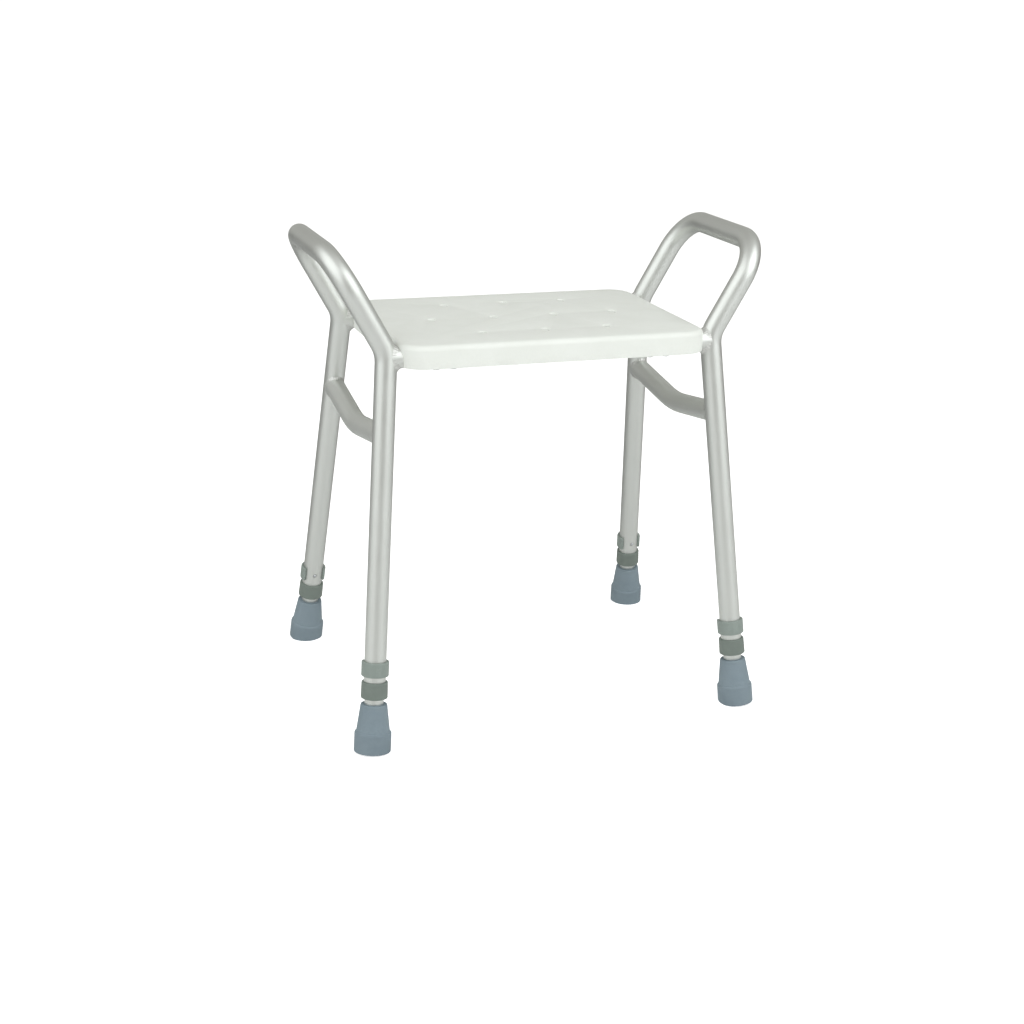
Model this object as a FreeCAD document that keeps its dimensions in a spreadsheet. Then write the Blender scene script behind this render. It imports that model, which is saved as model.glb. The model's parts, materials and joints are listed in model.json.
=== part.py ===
"""Shower stool with two bent-tube side frames, a moulded seat and telescopic legs.

Millimetres. +X is the sitter's right, +Y the back, +Z up; the floor is Z = 0 and the
origin is on the floor under the middle of the seat. Every leg has a line of its own,
from the floor to the bend beside the seat, and its parts are placed along that line.
"""
import FreeCAD, Part
import math
import os

import Sketcher
from FreeCAD import Placement, Rotation, Vector

# ---------------------------------------------------------------- driving dimensions

DIMENSIONS = (
    # frame tubes
    ("tube_od", 25.4, "side frame tube, outside"),
    ("tube_wall", 1.2, "wall of the frame tubes"),
    ("bar_od", 25.0, "crossbar and brace tube, outside"),
    ("floor_x", 234.9, "leg centreline at the floor, from the middle"),
    ("floor_y", 173.3, "leg centreline at the floor, from the middle"),
    ("bend_x", 199.8, "leg and handle centrelines meet here"),
    ("bend_y", 102.9, "leg and handle centrelines meet here"),
    ("bend_z", 454.1, "leg and handle centrelines meet here"),
    ("top_x", 259.7, "centreline of the handle's top"),
    ("top_z", 560.1, "centreline of the handle's top"),
    ("bend_round", 40.0, "bend radius beside the seat"),
    ("corner_round", 48.0, "bend radius at the handle's corners"),
    ("tube_end", 65.5, "lower end of the outer tube, along the leg"),
    ("crossbar_y", 103.6, "crossbar centreline"),
    ("crossbar_half", 200.6, "half the crossbar, to the leg's centreline"),
    ("brace_end_z", 361.5, "brace centreline at the legs"),
    ("brace_low_z", 343.5, "brace centreline corner in the middle"),
    ("brace_round", 150.0, "bend radius of the brace"),
    ("weld", 2.4, "throat of the crossbars' weld beads"),
    ("brace_weld", 1.4, "throat of the braces' weld beads"),
    # seat
    ("seat_length", 375.2, "seat, left to right"),
    ("seat_depth", 262.0, "seat, front to back"),
    ("seat_top_z", 464.8, "top of the seat"),
    ("skirt", 26.6, "height of the seat's skirt"),
    ("plate", 4.5, "thickness of the seat's top"),
    ("skirt_wall", 3.5, "thickness of the skirt"),
    ("seat_corner", 29.5, "plan radius of the corners"),
    ("seat_edge", 6.5, "rounding of the top edge"),
    ("drain_od", 9.6, "drain hole"),
    ("drain_pitch", 77.3, "drain holes in a row"),
    ("drain_rows", 75.5, "distance between the rows"),
    ("drain_round", 0.8, "rounding of a drain hole's rim"),
    ("rib", 2.6, "thickness of a rib"),
    ("rib_drop", 12.0, "depth of a rib under the plate"),
    ("rib_row", 36.0, "long ribs, from the middle"),
    ("saddle_gap", 0.15, "play between a crossbar and its channel"),
    # seat screws
    ("screw_od", 4.8, "thread of a seat screw"),
    ("screw_flange_od", 10.4, "flange of a seat screw's head"),
    ("screw_flange", 1.2, "thickness of the flange"),
    ("screw_hex", 4.6, "half the width over the corners of the head"),
    ("screw_head", 4.8, "height of a seat screw's head"),
    ("screw_bite", 3.5, "thread inside the seat's plate"),
    ("screw_point", 2.0, "pointed end of the screw"),
    ("screw_tip_od", 1.2, "blunt tip of the screw"),
    ("screw_outer", 142.0, "outer screw of a pair, from the middle"),
    ("screw_inner", 121.5, "inner screw of a pair, from the middle"),
    ("screw_hole", 5.4, "hole for a screw in the crossbar"),
    # telescopic legs, all measured along the leg from the floor
    ("inner_od", 22.2, "inner tube, outside"),
    ("inner_low", 16.0, "lower end of the inner tube"),
    ("inner_high", 278.0, "upper end of the inner tube"),
    ("notch_low", 98.2, "lowest adjustment hole, where the clip is"),
    ("notch_pitch", 25.0, "distance between adjustment holes"),
    ("notch_od", 5.0, "adjustment hole"),
    ("pin_od", 4.5, "clip pin"),
    ("pin_proud", 1.0, "pin's point past the outer tube"),
    ("pin_sunk", 0.6, "pin's head below the clip's face"),
    ("pin_taper", 0.9, "chamfer on the pin's point"),
    ("clip_play", 0.1, "clip bore to outer tube"),
    ("clip_wall", 3.2, "thickness of the clip"),
    ("clip_height", 17.4, "height of the clip"),
    ("clip_round", 1.8, "rounding of the clip's outer edges"),
    ("collar_low", 63.0, "underside of the collar"),
    ("collar_height", 20.0, "height of the collar"),
    ("collar_lip", 2.5, "lip under the outer tube's end"),
    ("collar_bore", 22.4, "bore that guides the inner tube"),
    ("collar_foot_od", 31.4, "collar, outside at its lower end"),
    ("collar_neck_od", 30.6, "collar, outside at its upper end"),
    ("collar_round", 1.6, "rounding of the collar's outer edges"),
    ("plug_od", 22.8, "guide plug's flange inside the outer tube"),
    ("plug_flange", 3.0, "thickness of the plug's flange"),
    ("plug_stem", 12.0, "length of the plug inside the inner tube"),
    ("foot_base_od", 43.0, "foot, outside at the floor"),
    ("foot_step_od", 39.8, "foot, at the top of its ledge"),
    ("foot_top_od", 30.8, "foot, at its upper end"),
    ("foot_ledge_low", 21.0, "foot, bottom of the ledge"),
    ("foot_ledge_high", 24.0, "foot, top of the ledge"),
    ("foot_high", 56.3, "foot, upper end"),
    ("foot_sole", 14.0, "rubber under the washer"),
    ("foot_sunk", 1.0, "sole below the floor on the leg's line"),
    ("levelling", 600.0, "block that levels the soles with the floor"),
    ("foot_round", 1.6, "rounding of the foot's edges"),
    ("washer_od", 22.0, "steel disc in the foot"),
)
NOTCHES = 7
CLIP_WRAP = 250.0
RIBS_ACROSS = 8
SIDES = (("left", -1), ("right", 1))
ENDS = (("front", -1), ("rear", 1))
CORNERS = [(f"{end}_{side}", x, y) for end, y in ENDS for side, x in SIDES]
TO_X = Rotation(Vector(0, 1, 0), 90)
NEAR = 0.01
ZERO = "0 mm"

doc = FreeCAD.newDocument("shower_stool")
sheet = doc.addObject("Spreadsheet::Sheet", "sizes")
for row, (alias, millimetres, note) in enumerate(DIMENSIONS, start=1):
    sheet.set(f"A{row}", alias)
    sheet.set(f"B{row}", str(millimetres))
    sheet.set(f"C{row}", note)
    sheet.setAlias(f"B{row}", alias)
doc.recompute()

sub_parts = []


def mm(alias):
    """The value of one sheet cell."""
    return float(sheet.get(alias))


def worked_out(expression):
    """The value of an expression on the sheet."""
    return float(sheet.evalExpression(expression))


def bind(feature, **expressions):
    """Ties a feature's sizes to the sheet."""
    for size, expression in expressions.items():
        feature.setExpression(size, expression)


def finish(feature, label):
    """Names a sub-part and keeps it for the hand-out."""
    feature.Label = label
    sub_parts.append(feature)
    return feature


# ---------------------------------------------------------------- solids by booleans

def cylinder(name, radius, length, placement):
    solid = doc.addObject("Part::Cylinder", name)
    bind(solid, Radius=radius, Height=length)
    solid.Placement = placement
    return solid


def cut(name, base, tools):
    """Base without the tools."""
    solid = doc.addObject("Part::Cut", name)
    solid.Base = base
    solid.Tool = tools[0] if len(tools) == 1 else joined(f"{name}_tools", tools)
    return solid


def joined(name, solids):
    fused = doc.addObject("Part::MultiFuse", name)
    fused.Shapes = solids
    return fused


def rounded_path(points, radii):
    """A wire of straight runs joined by tangent arcs, one radius per inner point."""
    edges = []
    run_start = points[0]
    for before, corner, after, radius in zip(points, points[1:], points[2:], radii):
        towards_start = (before - corner).normalize()
        towards_end = (after - corner).normalize()
        half_angle = towards_start.getAngle(towards_end) / 2
        setback = radius / math.tan(half_angle)
        inward = (towards_start + towards_end).normalize()
        crown = corner + inward * (radius / math.sin(half_angle) - radius)
        arc_start = corner + towards_start * setback
        arc_end = corner + towards_end * setback
        edges.append(Part.LineSegment(run_start, arc_start).toShape())
        edges.append(Part.Arc(arc_start, crown, arc_end).toShape())
        run_start = arc_end
    edges.append(Part.LineSegment(run_start, points[-1]).toShape())
    return Part.Wire(edges)


def swept_bar(name, path, radius):
    """A round solid bar along a path."""
    first = path.Shape.Edges[0]
    start = first.Vertexes[0].Point
    section = doc.addObject("Part::Circle", f"{name}_section")
    bind(section, Radius=radius)
    along = first.tangentAt(first.FirstParameter)
    section.Placement = Placement(start, Rotation(Vector(0, 0, 1), along))
    bar = doc.addObject("Part::Sweep", name)
    bar.Sections = [section]
    bar.Spine = (path, [f"Edge{i}" for i in range(1, len(path.Shape.Edges) + 1)])
    bar.Solid = True
    return bar


# ---------------------------------------------------------------- sketches and bodies

def new_body(name, placement):
    body = doc.addObject("PartDesign::Body", name)
    body.Placement = placement
    return body


def origin_part(body, role):
    return next(item for item in body.Origin.OriginFeatures if item.Role == role)


def new_sketch(body, name, role):
    sketch = body.newObject("Sketcher::SketchObject", name)
    sketch.AttachmentSupport = (origin_part(body, role), [""])
    sketch.MapMode = "FlatFace"
    return sketch


def hold_point(sketch, line, end, across, up):
    """Ties a sketch point to two sheet expressions, counted from the sketch's origin."""
    origin = (-1, 1)
    for direction, expression in (("DistanceX", across), ("DistanceY", up)):
        number = sketch.addConstraint(
            Sketcher.Constraint(direction, *origin, line, end, worked_out(expression)))
        sketch.setExpression(f"Constraints[{number}]", expression)


def outline_sketch(body, name, role, corners):
    """A closed outline whose corners are pairs of sheet expressions."""
    sketch = new_sketch(body, name, role)
    points = [Vector(worked_out(across), worked_out(up), 0) for across, up in corners]
    count = len(points)
    for number in range(count):
        sketch.addGeometry(Part.LineSegment(points[number], points[(number + 1) % count]))
    for number in range(count):
        sketch.addConstraint(Sketcher.Constraint("Coincident", number, 2, (number + 1) % count, 1))
    for number, (across, up) in enumerate(corners):
        hold_point(sketch, number, 1, across, up)
    return sketch


def circles_sketch(body, name, role, centres, radius):
    """Equal circles whose centres are pairs of sheet expressions."""
    sketch = new_sketch(body, name, role)
    centre_mark = 3
    for number, (across, up) in enumerate(centres):
        centre = Vector(worked_out(across), worked_out(up), 0)
        sketch.addGeometry(Part.Circle(centre, Vector(0, 0, 1), worked_out(radius)))
        hold_point(sketch, number, centre_mark, across, up)
        if number:
            sketch.addConstraint(Sketcher.Constraint("Equal", 0, number))
    held = sketch.addConstraint(Sketcher.Constraint("Radius", 0, worked_out(radius)))
    sketch.setExpression(f"Constraints[{held}]", radius)
    return sketch


def rounded_rectangle(body, name, width, depth, radius):
    """A rectangle with round corners, around the origin of the body's XY plane."""
    sketch = new_sketch(body, name, "XY_Plane")
    corner_radius = worked_out(radius)
    across, back = f"({width}) / 2 - ({radius})", f"({depth}) / 2 - ({radius})"
    quadrants = ((1, 1), (-1, 1), (-1, -1), (1, -1))
    arcs = []
    for quarter, (x, y) in enumerate(quadrants):
        centre = Vector(x * worked_out(across), y * worked_out(back), 0)
        circle = Part.Circle(centre, Vector(0, 0, 1), corner_radius)
        start = quarter * math.pi / 2
        arcs.append(Part.ArcOfCircle(circle, start, start + math.pi / 2))
    sides = [Part.LineSegment(arc.EndPoint, following.StartPoint)
             for arc, following in zip(arcs, arcs[1:] + arcs[:1])]
    sketch.addGeometry(arcs + sides)
    count = len(quadrants)
    start_point, end_point, centre_point = 1, 2, 3
    for quarter in range(count):
        side, following = quarter + count, (quarter + 1) % count
        sketch.addConstraint(Sketcher.Constraint("Tangent", quarter, end_point, side, start_point))
        sketch.addConstraint(Sketcher.Constraint("Tangent", side, end_point, following, start_point))
        sketch.addConstraint(Sketcher.Constraint("Vertical" if quarter % 2 else "Horizontal", side))
        if quarter:
            sketch.addConstraint(Sketcher.Constraint("Equal", 0, quarter))
    held = sketch.addConstraint(Sketcher.Constraint("Radius", 0, corner_radius))
    sketch.setExpression(f"Constraints[{held}]", radius)
    hold_point(sketch, 0, centre_point, across, back)
    hold_point(sketch, 2, centre_point, f"-({across})", f"-({back})")
    return sketch


def raised(body, name, sketch, length):
    pad = body.newObject("PartDesign::Pad", name)
    pad.Profile = sketch
    bind(pad, Length=length)
    return pad


def sunk(body, name, sketch, length, **settings):
    """A pocket; it has to take something away."""
    doc.recompute()
    before = body.Shape.Volume
    pocket = body.newObject("PartDesign::Pocket", name)
    pocket.Profile = sketch
    bind(pocket, Length=length)
    for setting, choice in settings.items():
        setattr(pocket, setting, choice)
    doc.recompute()
    if body.Shape.Volume >= before:
        raise RuntimeError(f"{name} cuts nothing")
    return pocket


def turned(body, name, sketch, axis="V_Axis"):
    """A turned shape about one of the sketch's own axes."""
    turning = body.newObject("PartDesign::Revolution", name)
    turning.Profile = sketch
    turning.ReferenceAxis = (sketch, [axis])
    return turning


def rounded(body, name, radius, chosen):
    """Rounds the edges of the body's last feature for which chosen is true."""
    doc.recompute()
    last = body.Tip
    names = [f"Edge{i}" for i, edge in enumerate(last.Shape.Edges, start=1) if chosen(edge)]
    fillet = body.newObject("PartDesign::Fillet", name)
    fillet.Base = (last, names)
    bind(fillet, Radius=radius)
    return fillet


def repeated(body, name, feature, role, length, count):
    """A row of one feature along an axis of the body."""
    row = body.newObject("PartDesign::LinearPattern", name)
    row.Originals = [feature]
    row.Direction = (origin_part(body, role), [""])
    row.Occurrences = count
    bind(row, Length=length)
    body.Tip = row
    return row


def level_with(height):
    """A test for edges that lie at one height."""
    return lambda edge: abs(edge.BoundBox.ZMin - height) < NEAR and edge.BoundBox.ZLength < NEAR


# ---------------------------------------------------------------- the legs' lines

def leg_point(x_sign, y_sign, height):
    """The leg's centreline at a height above the floor."""
    share = height / mm("bend_z")
    across = mm("floor_x") + (mm("bend_x") - mm("floor_x")) * share
    back = mm("floor_y") + (mm("bend_y") - mm("floor_y")) * share
    return Vector(x_sign * across, y_sign * back, height)


def leg_place(x_sign, y_sign, along=0.0):
    """On the leg's line: local +Z runs up the leg, local +X away from the stool's middle."""
    floor_point = leg_point(x_sign, y_sign, 0)
    up = (leg_point(x_sign, y_sign, mm("bend_z")) - floor_point).normalize()
    outward = Vector(0, y_sign, 0)
    return Placement(floor_point + up * along, Rotation(outward, Vector(0, 0, 0), up, "ZXY"))


# ---------------------------------------------------------------- side frames

def side_path(side, x):
    """Centreline of a side frame: front leg, handle, rear leg."""
    path = doc.addObject("Part::Feature", f"side_path_{side}")
    up_the_leg = [leg_place(x, y, mm("tube_end")).Base for y in (-1, 1)]
    bends = [leg_point(x, y, mm("bend_z")) for y in (-1, 1)]
    tops = [Vector(x * mm("top_x"), y * mm("bend_y"), mm("top_z")) for y in (-1, 1)]
    points = (up_the_leg[0], bends[0], tops[0], tops[1], bends[1], up_the_leg[1])
    radii = [mm(name) for name in ("bend_round", "corner_round", "corner_round", "bend_round")]
    path.Shape = rounded_path(points, radii)
    return path


def pin_hole(name, x, y):
    """A hole along the leg's local X, right through the outer tube."""
    reach = mm("tube_od")
    place = leg_place(x, y, mm("notch_low")) * Placement(Vector(-reach, 0, 0), TO_X)
    return cylinder(name, "sizes.notch_od / 2", "sizes.tube_od * 2", place)


frame_solid = {}
frame_grown = {"weld": [], "brace_weld": []}
for side, x in SIDES:
    path = side_path(side, x)
    frame_solid[side] = swept_bar(f"side_solid_{side}", path, "sizes.tube_od / 2")
    for throat, grown in frame_grown.items():
        radius = f"sizes.tube_od / 2 + sizes.{throat}"
        grown.append(swept_bar(f"side_{throat}_{side}", path, radius))
    bore = swept_bar(f"side_bore_{side}", path, "sizes.tube_od / 2 - sizes.tube_wall")
    holes = [pin_hole(f"side_hole_{side}_{end}", x, y) for end, y in ENDS]
    finish(cut(f"side_tube_{side}", frame_solid[side], [bore, *holes]), f"side_frame_{side}")
both_frames = joined("both_side_solids", [frame_solid["left"], frame_solid["right"]])
both_grown = {throat: joined(f"both_side_{throat}", grown) for throat, grown in frame_grown.items()}


# ---------------------------------------------------------------- crossbars, braces, welds

def crossbar_z():
    """The crossbars' centreline: their crowns carry the seat's plate."""
    return mm("seat_top_z") - mm("plate") - mm("bar_od") / 2


def weld_beads(name, throat, grown_bar, bar):
    """The metal within a weld's throat of both tubes, outside them."""
    near_both = doc.addObject("Part::Common", f"{name}_near_both")
    near_both.Base = grown_bar
    near_both.Tool = both_grown[throat]
    return cut(name, near_both, [both_frames, bar])


def grouped(name, solids):
    group = doc.addObject("Part::Compound", name)
    group.Links = solids
    return finish(group, name)


crossbar_beads = []
for end, y in ENDS:
    start = Vector(-mm("crossbar_half"), y * mm("crossbar_y"), crossbar_z())
    length = "sizes.crossbar_half * 2"
    place = Placement(start, TO_X)
    bar = cylinder(f"crossbar_solid_{end}", "sizes.bar_od / 2", length, place)
    bore = cylinder(f"crossbar_bore_{end}", "sizes.bar_od / 2 - sizes.tube_wall", length, place)
    grown = cylinder(f"crossbar_grown_{end}", "sizes.bar_od / 2 + sizes.weld", length, place)
    screw_holes = []
    for number, across in enumerate(("screw_outer", "screw_inner")):
        for side, x in SIDES:
            low = Vector(x * mm(across), start.y, crossbar_z() - mm("bar_od"))
            hole = cylinder(f"crossbar_hole_{end}_{side}_{number}", "sizes.screw_hole / 2",
                            "sizes.bar_od * 2", Placement(low, Rotation()))
            screw_holes.append(hole)
    finish(cut(f"crossbar_tube_{end}", bar, [bore, both_frames, *screw_holes]), f"crossbar_{end}")
    crossbar_beads.append(weld_beads(f"crossbar_bead_{end}", "weld", grown, bar))
grouped("crossbar_welds", crossbar_beads)

brace_beads = []
for side, x in SIDES:
    path = doc.addObject("Part::Feature", f"brace_path_{side}")
    front_end, rear_end = (leg_point(x, y, mm("brace_end_z")) for y in (-1, 1))
    low_corner = leg_point(x, 0, mm("brace_low_z"))
    path.Shape = rounded_path((front_end, low_corner, rear_end), (mm("brace_round"),))
    bar = swept_bar(f"brace_solid_{side}", path, "sizes.bar_od / 2")
    bore = swept_bar(f"brace_bore_{side}", path, "sizes.bar_od / 2 - sizes.tube_wall")
    grown = swept_bar(f"brace_grown_{side}", path, "sizes.bar_od / 2 + sizes.brace_weld")
    finish(cut(f"brace_tube_{side}", bar, [bore, frame_solid[side]]), f"brace_{side}")
    brace_beads.append(weld_beads(f"brace_bead_{side}", "brace_weld", grown, bar))
grouped("brace_welds", brace_beads)


# ---------------------------------------------------------------- seat

def added_box(body, name, place, **lengths):
    box = body.newObject("PartDesign::AdditiveBox", name)
    bind(box, **lengths)
    box.Placement = Placement(place, Rotation())
    return box


def seat_shell():
    """An upside-down tray: plate, skirt, ribs, and channels that sit over the crossbars."""
    underside = Vector(0, 0, mm("seat_top_z") - mm("skirt"))
    body = new_body("seat_body", Placement(underside, Rotation()))
    outline = rounded_rectangle(body, "seat_outline", "sizes.seat_length", "sizes.seat_depth",
                                "sizes.seat_corner")
    raised(body, "seat_block", outline, "sizes.skirt")
    rounded(body, "seat_top_edge", "sizes.seat_edge", level_with(mm("skirt")))
    hollow = rounded_rectangle(
        body, "seat_hollow_outline", "sizes.seat_length - 2 * sizes.skirt_wall",
        "sizes.seat_depth - 2 * sizes.skirt_wall", "sizes.seat_corner - sizes.skirt_wall")
    sunk(body, "seat_hollow", hollow, "sizes.skirt - sizes.plate", Reversed=True)

    rib_low = mm("skirt") - mm("plate") - mm("rib_drop")
    length = "sizes.seat_length - sizes.skirt_wall"
    depth = "sizes.seat_depth - sizes.skirt_wall"
    for end, y in ENDS:
        corner = Vector(-worked_out(length) / 2, y * mm("rib_row") - mm("rib") / 2, rib_low)
        added_box(body, f"seat_long_rib_{end}", corner,
                  Length=length, Width="sizes.rib", Height="sizes.rib_drop")
    rib_span = (RIBS_ACROSS - 1) * mm("drain_pitch") / 2
    corner = Vector(-rib_span / 2 - mm("rib") / 2, -worked_out(depth) / 2, rib_low)
    rib = added_box(body, "seat_cross_rib", corner,
                    Length="sizes.rib", Width=depth, Height="sizes.rib_drop")
    rib_run = f"{RIBS_ACROSS - 1} * sizes.drain_pitch / 2"
    repeated(body, "seat_cross_ribs", rib, "X_Axis", rib_run, RIBS_ACROSS)

    bar_height = crossbar_z() - body.Placement.Base.z
    half_width = mm("bar_od") / 2 + mm("saddle_gap")
    for end, y in ENDS:
        channel = body.newObject("PartDesign::SubtractiveCylinder", f"seat_channel_{end}")
        bind(channel, Radius="sizes.bar_od / 2 + sizes.saddle_gap", Height="sizes.seat_length")
        bar_start = Vector(-mm("seat_length") / 2, y * mm("crossbar_y"), bar_height)
        channel.Placement = Placement(bar_start, TO_X)
        mouth = body.newObject("PartDesign::SubtractiveBox", f"seat_channel_mouth_{end}")
        bind(mouth, Length="sizes.seat_length", Width="sizes.bar_od + 2 * sizes.saddle_gap",
             Height="sizes.skirt")
        mouth_corner = bar_start - Vector(0, half_width, mm("skirt"))
        mouth.Placement = Placement(mouth_corner, Rotation())

    screws = [(f"{x} * sizes.{across}", f"{y} * sizes.crossbar_y")
              for across in ("screw_outer", "screw_inner") for _, x in SIDES for _, y in ENDS]
    pilots = circles_sketch(body, "seat_pilot_centres", "XY_Plane", screws, "sizes.screw_od / 2")
    sunk(body, "seat_pilots", pilots, "sizes.skirt - sizes.plate + sizes.screw_bite", Reversed=True)

    outer_rows = [(f"{step} * sizes.drain_pitch", f"{y} * sizes.drain_rows")
                  for step in (-1, 0, 1) for _, y in ENDS]
    middle_row = [(f"{step} * sizes.drain_pitch", ZERO) for step in (-1.5, -0.5, 0.5, 1.5)]
    drains = circles_sketch(body, "seat_drain_centres", "XY_Plane", outer_rows + middle_row,
                            "sizes.drain_od / 2")
    sunk(body, "seat_drains", drains, "sizes.skirt * 2", Reversed=True)
    on_top = level_with(mm("skirt"))
    rounded(body, "seat_drain_rims", "sizes.drain_round",
            lambda edge: on_top(edge) and abs(edge.BoundBox.XLength - mm("drain_od")) < NEAR)
    return body


finish(seat_shell(), "seat")


def seat_screw(name, x, y):
    """A self-tapping screw, its hexagon head under the crossbar, its point in the seat's plate."""
    under_bar = crossbar_z() - mm("bar_od") / 2
    head_place = Placement(Vector(x, y, under_bar - mm("screw_head")), Rotation())
    hexagon = doc.addObject("Part::Prism", f"{name}_hexagon")
    bind(hexagon, Circumradius="sizes.screw_hex", Height="sizes.screw_head - sizes.screw_flange")
    hexagon.Placement = head_place
    flange_place = Placement(Vector(x, y, under_bar - mm("screw_flange")), Rotation())
    flange = cylinder(f"{name}_flange", "sizes.screw_flange_od / 2", "sizes.screw_flange", flange_place)
    shank = cylinder(f"{name}_shank", "sizes.screw_od / 2",
                     "sizes.screw_head + sizes.bar_od + sizes.screw_bite - sizes.screw_point", head_place)
    point = doc.addObject("Part::Cone", f"{name}_point")
    bind(point, Radius1="sizes.screw_od / 2", Radius2="sizes.screw_tip_od / 2", Height="sizes.screw_point")
    point.Placement = Placement(
        Vector(x, y, under_bar + mm("bar_od") + mm("screw_bite") - mm("screw_point")), Rotation())
    return joined(name, [hexagon, flange, shank, point])


grouped("seat_screws", [
    seat_screw(f"seat_screw_{end}_{side}_{across}", x * mm(across), y * mm("crossbar_y"))
    for end, y in ENDS for side, x in SIDES for across in ("screw_outer", "screw_inner")])


# ---------------------------------------------------------------- telescopic leg ends

def turned_piece(name, placement, outline, axis="V_Axis"):
    """A turned piece from an outline of (radius, height) expressions on its XZ plane."""
    body = new_body(f"{name}_body", placement)
    turned(body, f"{name}_turned", outline_sketch(body, f"{name}_outline", "XZ_Plane", outline), axis)
    doc.recompute()
    return body


def outer_rims(radii, heights):
    """A test for full circles of the given radii at the given heights."""
    return lambda edge: any(
        abs(edge.BoundBox.XLength / 2 - radius) < NEAR and level_with(height)(edge)
        for radius, height in zip(radii, heights))


def leg_collar(corner, x, y):
    """Plastic bush pressed on the outer tube's end; its lip guides the inner tube."""
    bore, lip, high = "sizes.collar_bore / 2", "sizes.collar_lip", "sizes.collar_height"
    socket = "sizes.tube_od / 2"
    outline = ((bore, ZERO), ("sizes.collar_foot_od / 2", ZERO),
               ("sizes.collar_neck_od / 2", high), (socket, high), (socket, lip), (bore, lip))
    body = turned_piece(f"collar_{corner}", leg_place(x, y, mm("collar_low")), outline)
    rims = outer_rims((mm("collar_foot_od") / 2, mm("collar_neck_od") / 2), (0, mm("collar_height")))
    rounded(body, f"collar_edges_{corner}", "sizes.collar_round", rims)
    return body


def inner_leg(corner, x, y):
    """Tube with a row of adjustment holes through both walls."""
    body = new_body(f"inner_{corner}_body", leg_place(x, y, mm("inner_low")))
    middle = ((ZERO, ZERO),)
    outside = circles_sketch(body, f"inner_outside_{corner}", "XY_Plane", middle, "sizes.inner_od / 2")
    raised(body, f"inner_rod_{corner}", outside, "sizes.inner_high - sizes.inner_low")
    doc.recompute()
    inside = circles_sketch(body, f"inner_inside_{corner}", "XY_Plane", middle,
                            "sizes.inner_od / 2 - sizes.tube_wall")
    sunk(body, f"inner_bore_{corner}", inside, "sizes.inner_high - sizes.inner_low", Reversed=True)
    notch_place = ((ZERO, "sizes.notch_low - sizes.inner_low"),)
    notch = circles_sketch(body, f"inner_notch_centre_{corner}", "YZ_Plane", notch_place,
                           "sizes.notch_od / 2")
    lowest = sunk(body, f"inner_notch_{corner}", notch, "sizes.inner_od * 2", Midplane=True)
    notch_run = f"{NOTCHES - 1} * sizes.notch_pitch"
    repeated(body, f"inner_notches_{corner}", lowest, "Z_Axis", notch_run, NOTCHES)
    return body


def guide_plug(corner, x, y):
    """Plastic plug in the inner tube's top; its flange runs inside the outer tube."""
    stem, flange = "sizes.inner_od / 2 - sizes.tube_wall", "sizes.plug_od / 2"
    axis, seat, top = ZERO, ZERO, "sizes.plug_flange"
    outline = ((axis, "-sizes.plug_stem"), (stem, "-sizes.plug_stem"), (stem, seat), (flange, seat),
               (flange, top), (axis, top))
    return turned_piece(f"plug_{corner}", leg_place(x, y, mm("inner_high")), outline)


def rubber_foot(corner, x, y):
    """Rubber ferrule in line with the leg; the floor presses the inner part of its sole level."""
    axis, bore = ZERO, "sizes.inner_od / 2"
    outline = ((axis, "-sizes.foot_sunk"), ("sizes.foot_base_od / 2", "-sizes.foot_sunk"),
               ("sizes.foot_base_od / 2", "sizes.foot_ledge_low"),
               ("sizes.foot_step_od / 2", "sizes.foot_ledge_high"),
               ("sizes.foot_top_od / 2", "sizes.foot_high"), (bore, "sizes.foot_high"),
               (bore, "sizes.foot_sole"), (axis, "sizes.foot_sole"))
    body = turned_piece(f"foot_{corner}", leg_place(x, y), outline)
    rims = outer_rims((mm("foot_base_od") / 2, mm("foot_base_od") / 2, mm("foot_top_od") / 2),
                      (-mm("foot_sunk"), mm("foot_ledge_low"), mm("foot_high")))
    rounded(body, f"foot_edges_{corner}", "sizes.foot_round", rims)
    doc.recompute()
    return cut(f"foot_levelled_{corner}", body, [floor_block])


def foot_washer(corner, x, y):
    """Steel disc that keeps the tube's end from cutting through the rubber."""
    return cylinder(f"washer_{corner}", "sizes.washer_od / 2", "sizes.inner_low - sizes.foot_sole",
                    leg_place(x, y, mm("foot_sole")))


def leg_clip(corner, x, y):
    """Springy C around the outer tube, its closed side away from the stool's middle."""
    inside = "sizes.tube_od / 2 + sizes.clip_play"
    outside = f"{inside} + sizes.clip_wall"
    low, high = "-sizes.clip_height / 2", "sizes.clip_height / 2"
    outline = ((inside, low), (outside, low), (outside, high), (inside, high))
    body = new_body(f"clip_{corner}_body", leg_place(x, y, mm("notch_low")))
    ring = turned(body, f"clip_ring_{corner}",
                  outline_sketch(body, f"clip_outline_{corner}", "XZ_Plane", outline))
    ring.Angle = CLIP_WRAP
    ring.Midplane = True
    doc.recompute()
    half_height = mm("clip_height") / 2
    outer_radius = worked_out(outside)

    def outer_rim(edge):
        round_edge = hasattr(edge.Curve, "Radius") and abs(edge.Curve.Radius - outer_radius) < NEAR
        return round_edge and (level_with(half_height)(edge) or level_with(-half_height)(edge))

    rounded(body, f"clip_edges_{corner}", "sizes.clip_round", outer_rim)
    doc.recompute()
    middle = ((ZERO, ZERO),)
    socket = circles_sketch(body, f"clip_socket_centre_{corner}", "YZ_Plane", middle, "sizes.pin_od / 2")
    sunk(body, f"clip_socket_{corner}", socket, "sizes.tube_od", Reversed=True)
    return body


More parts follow.
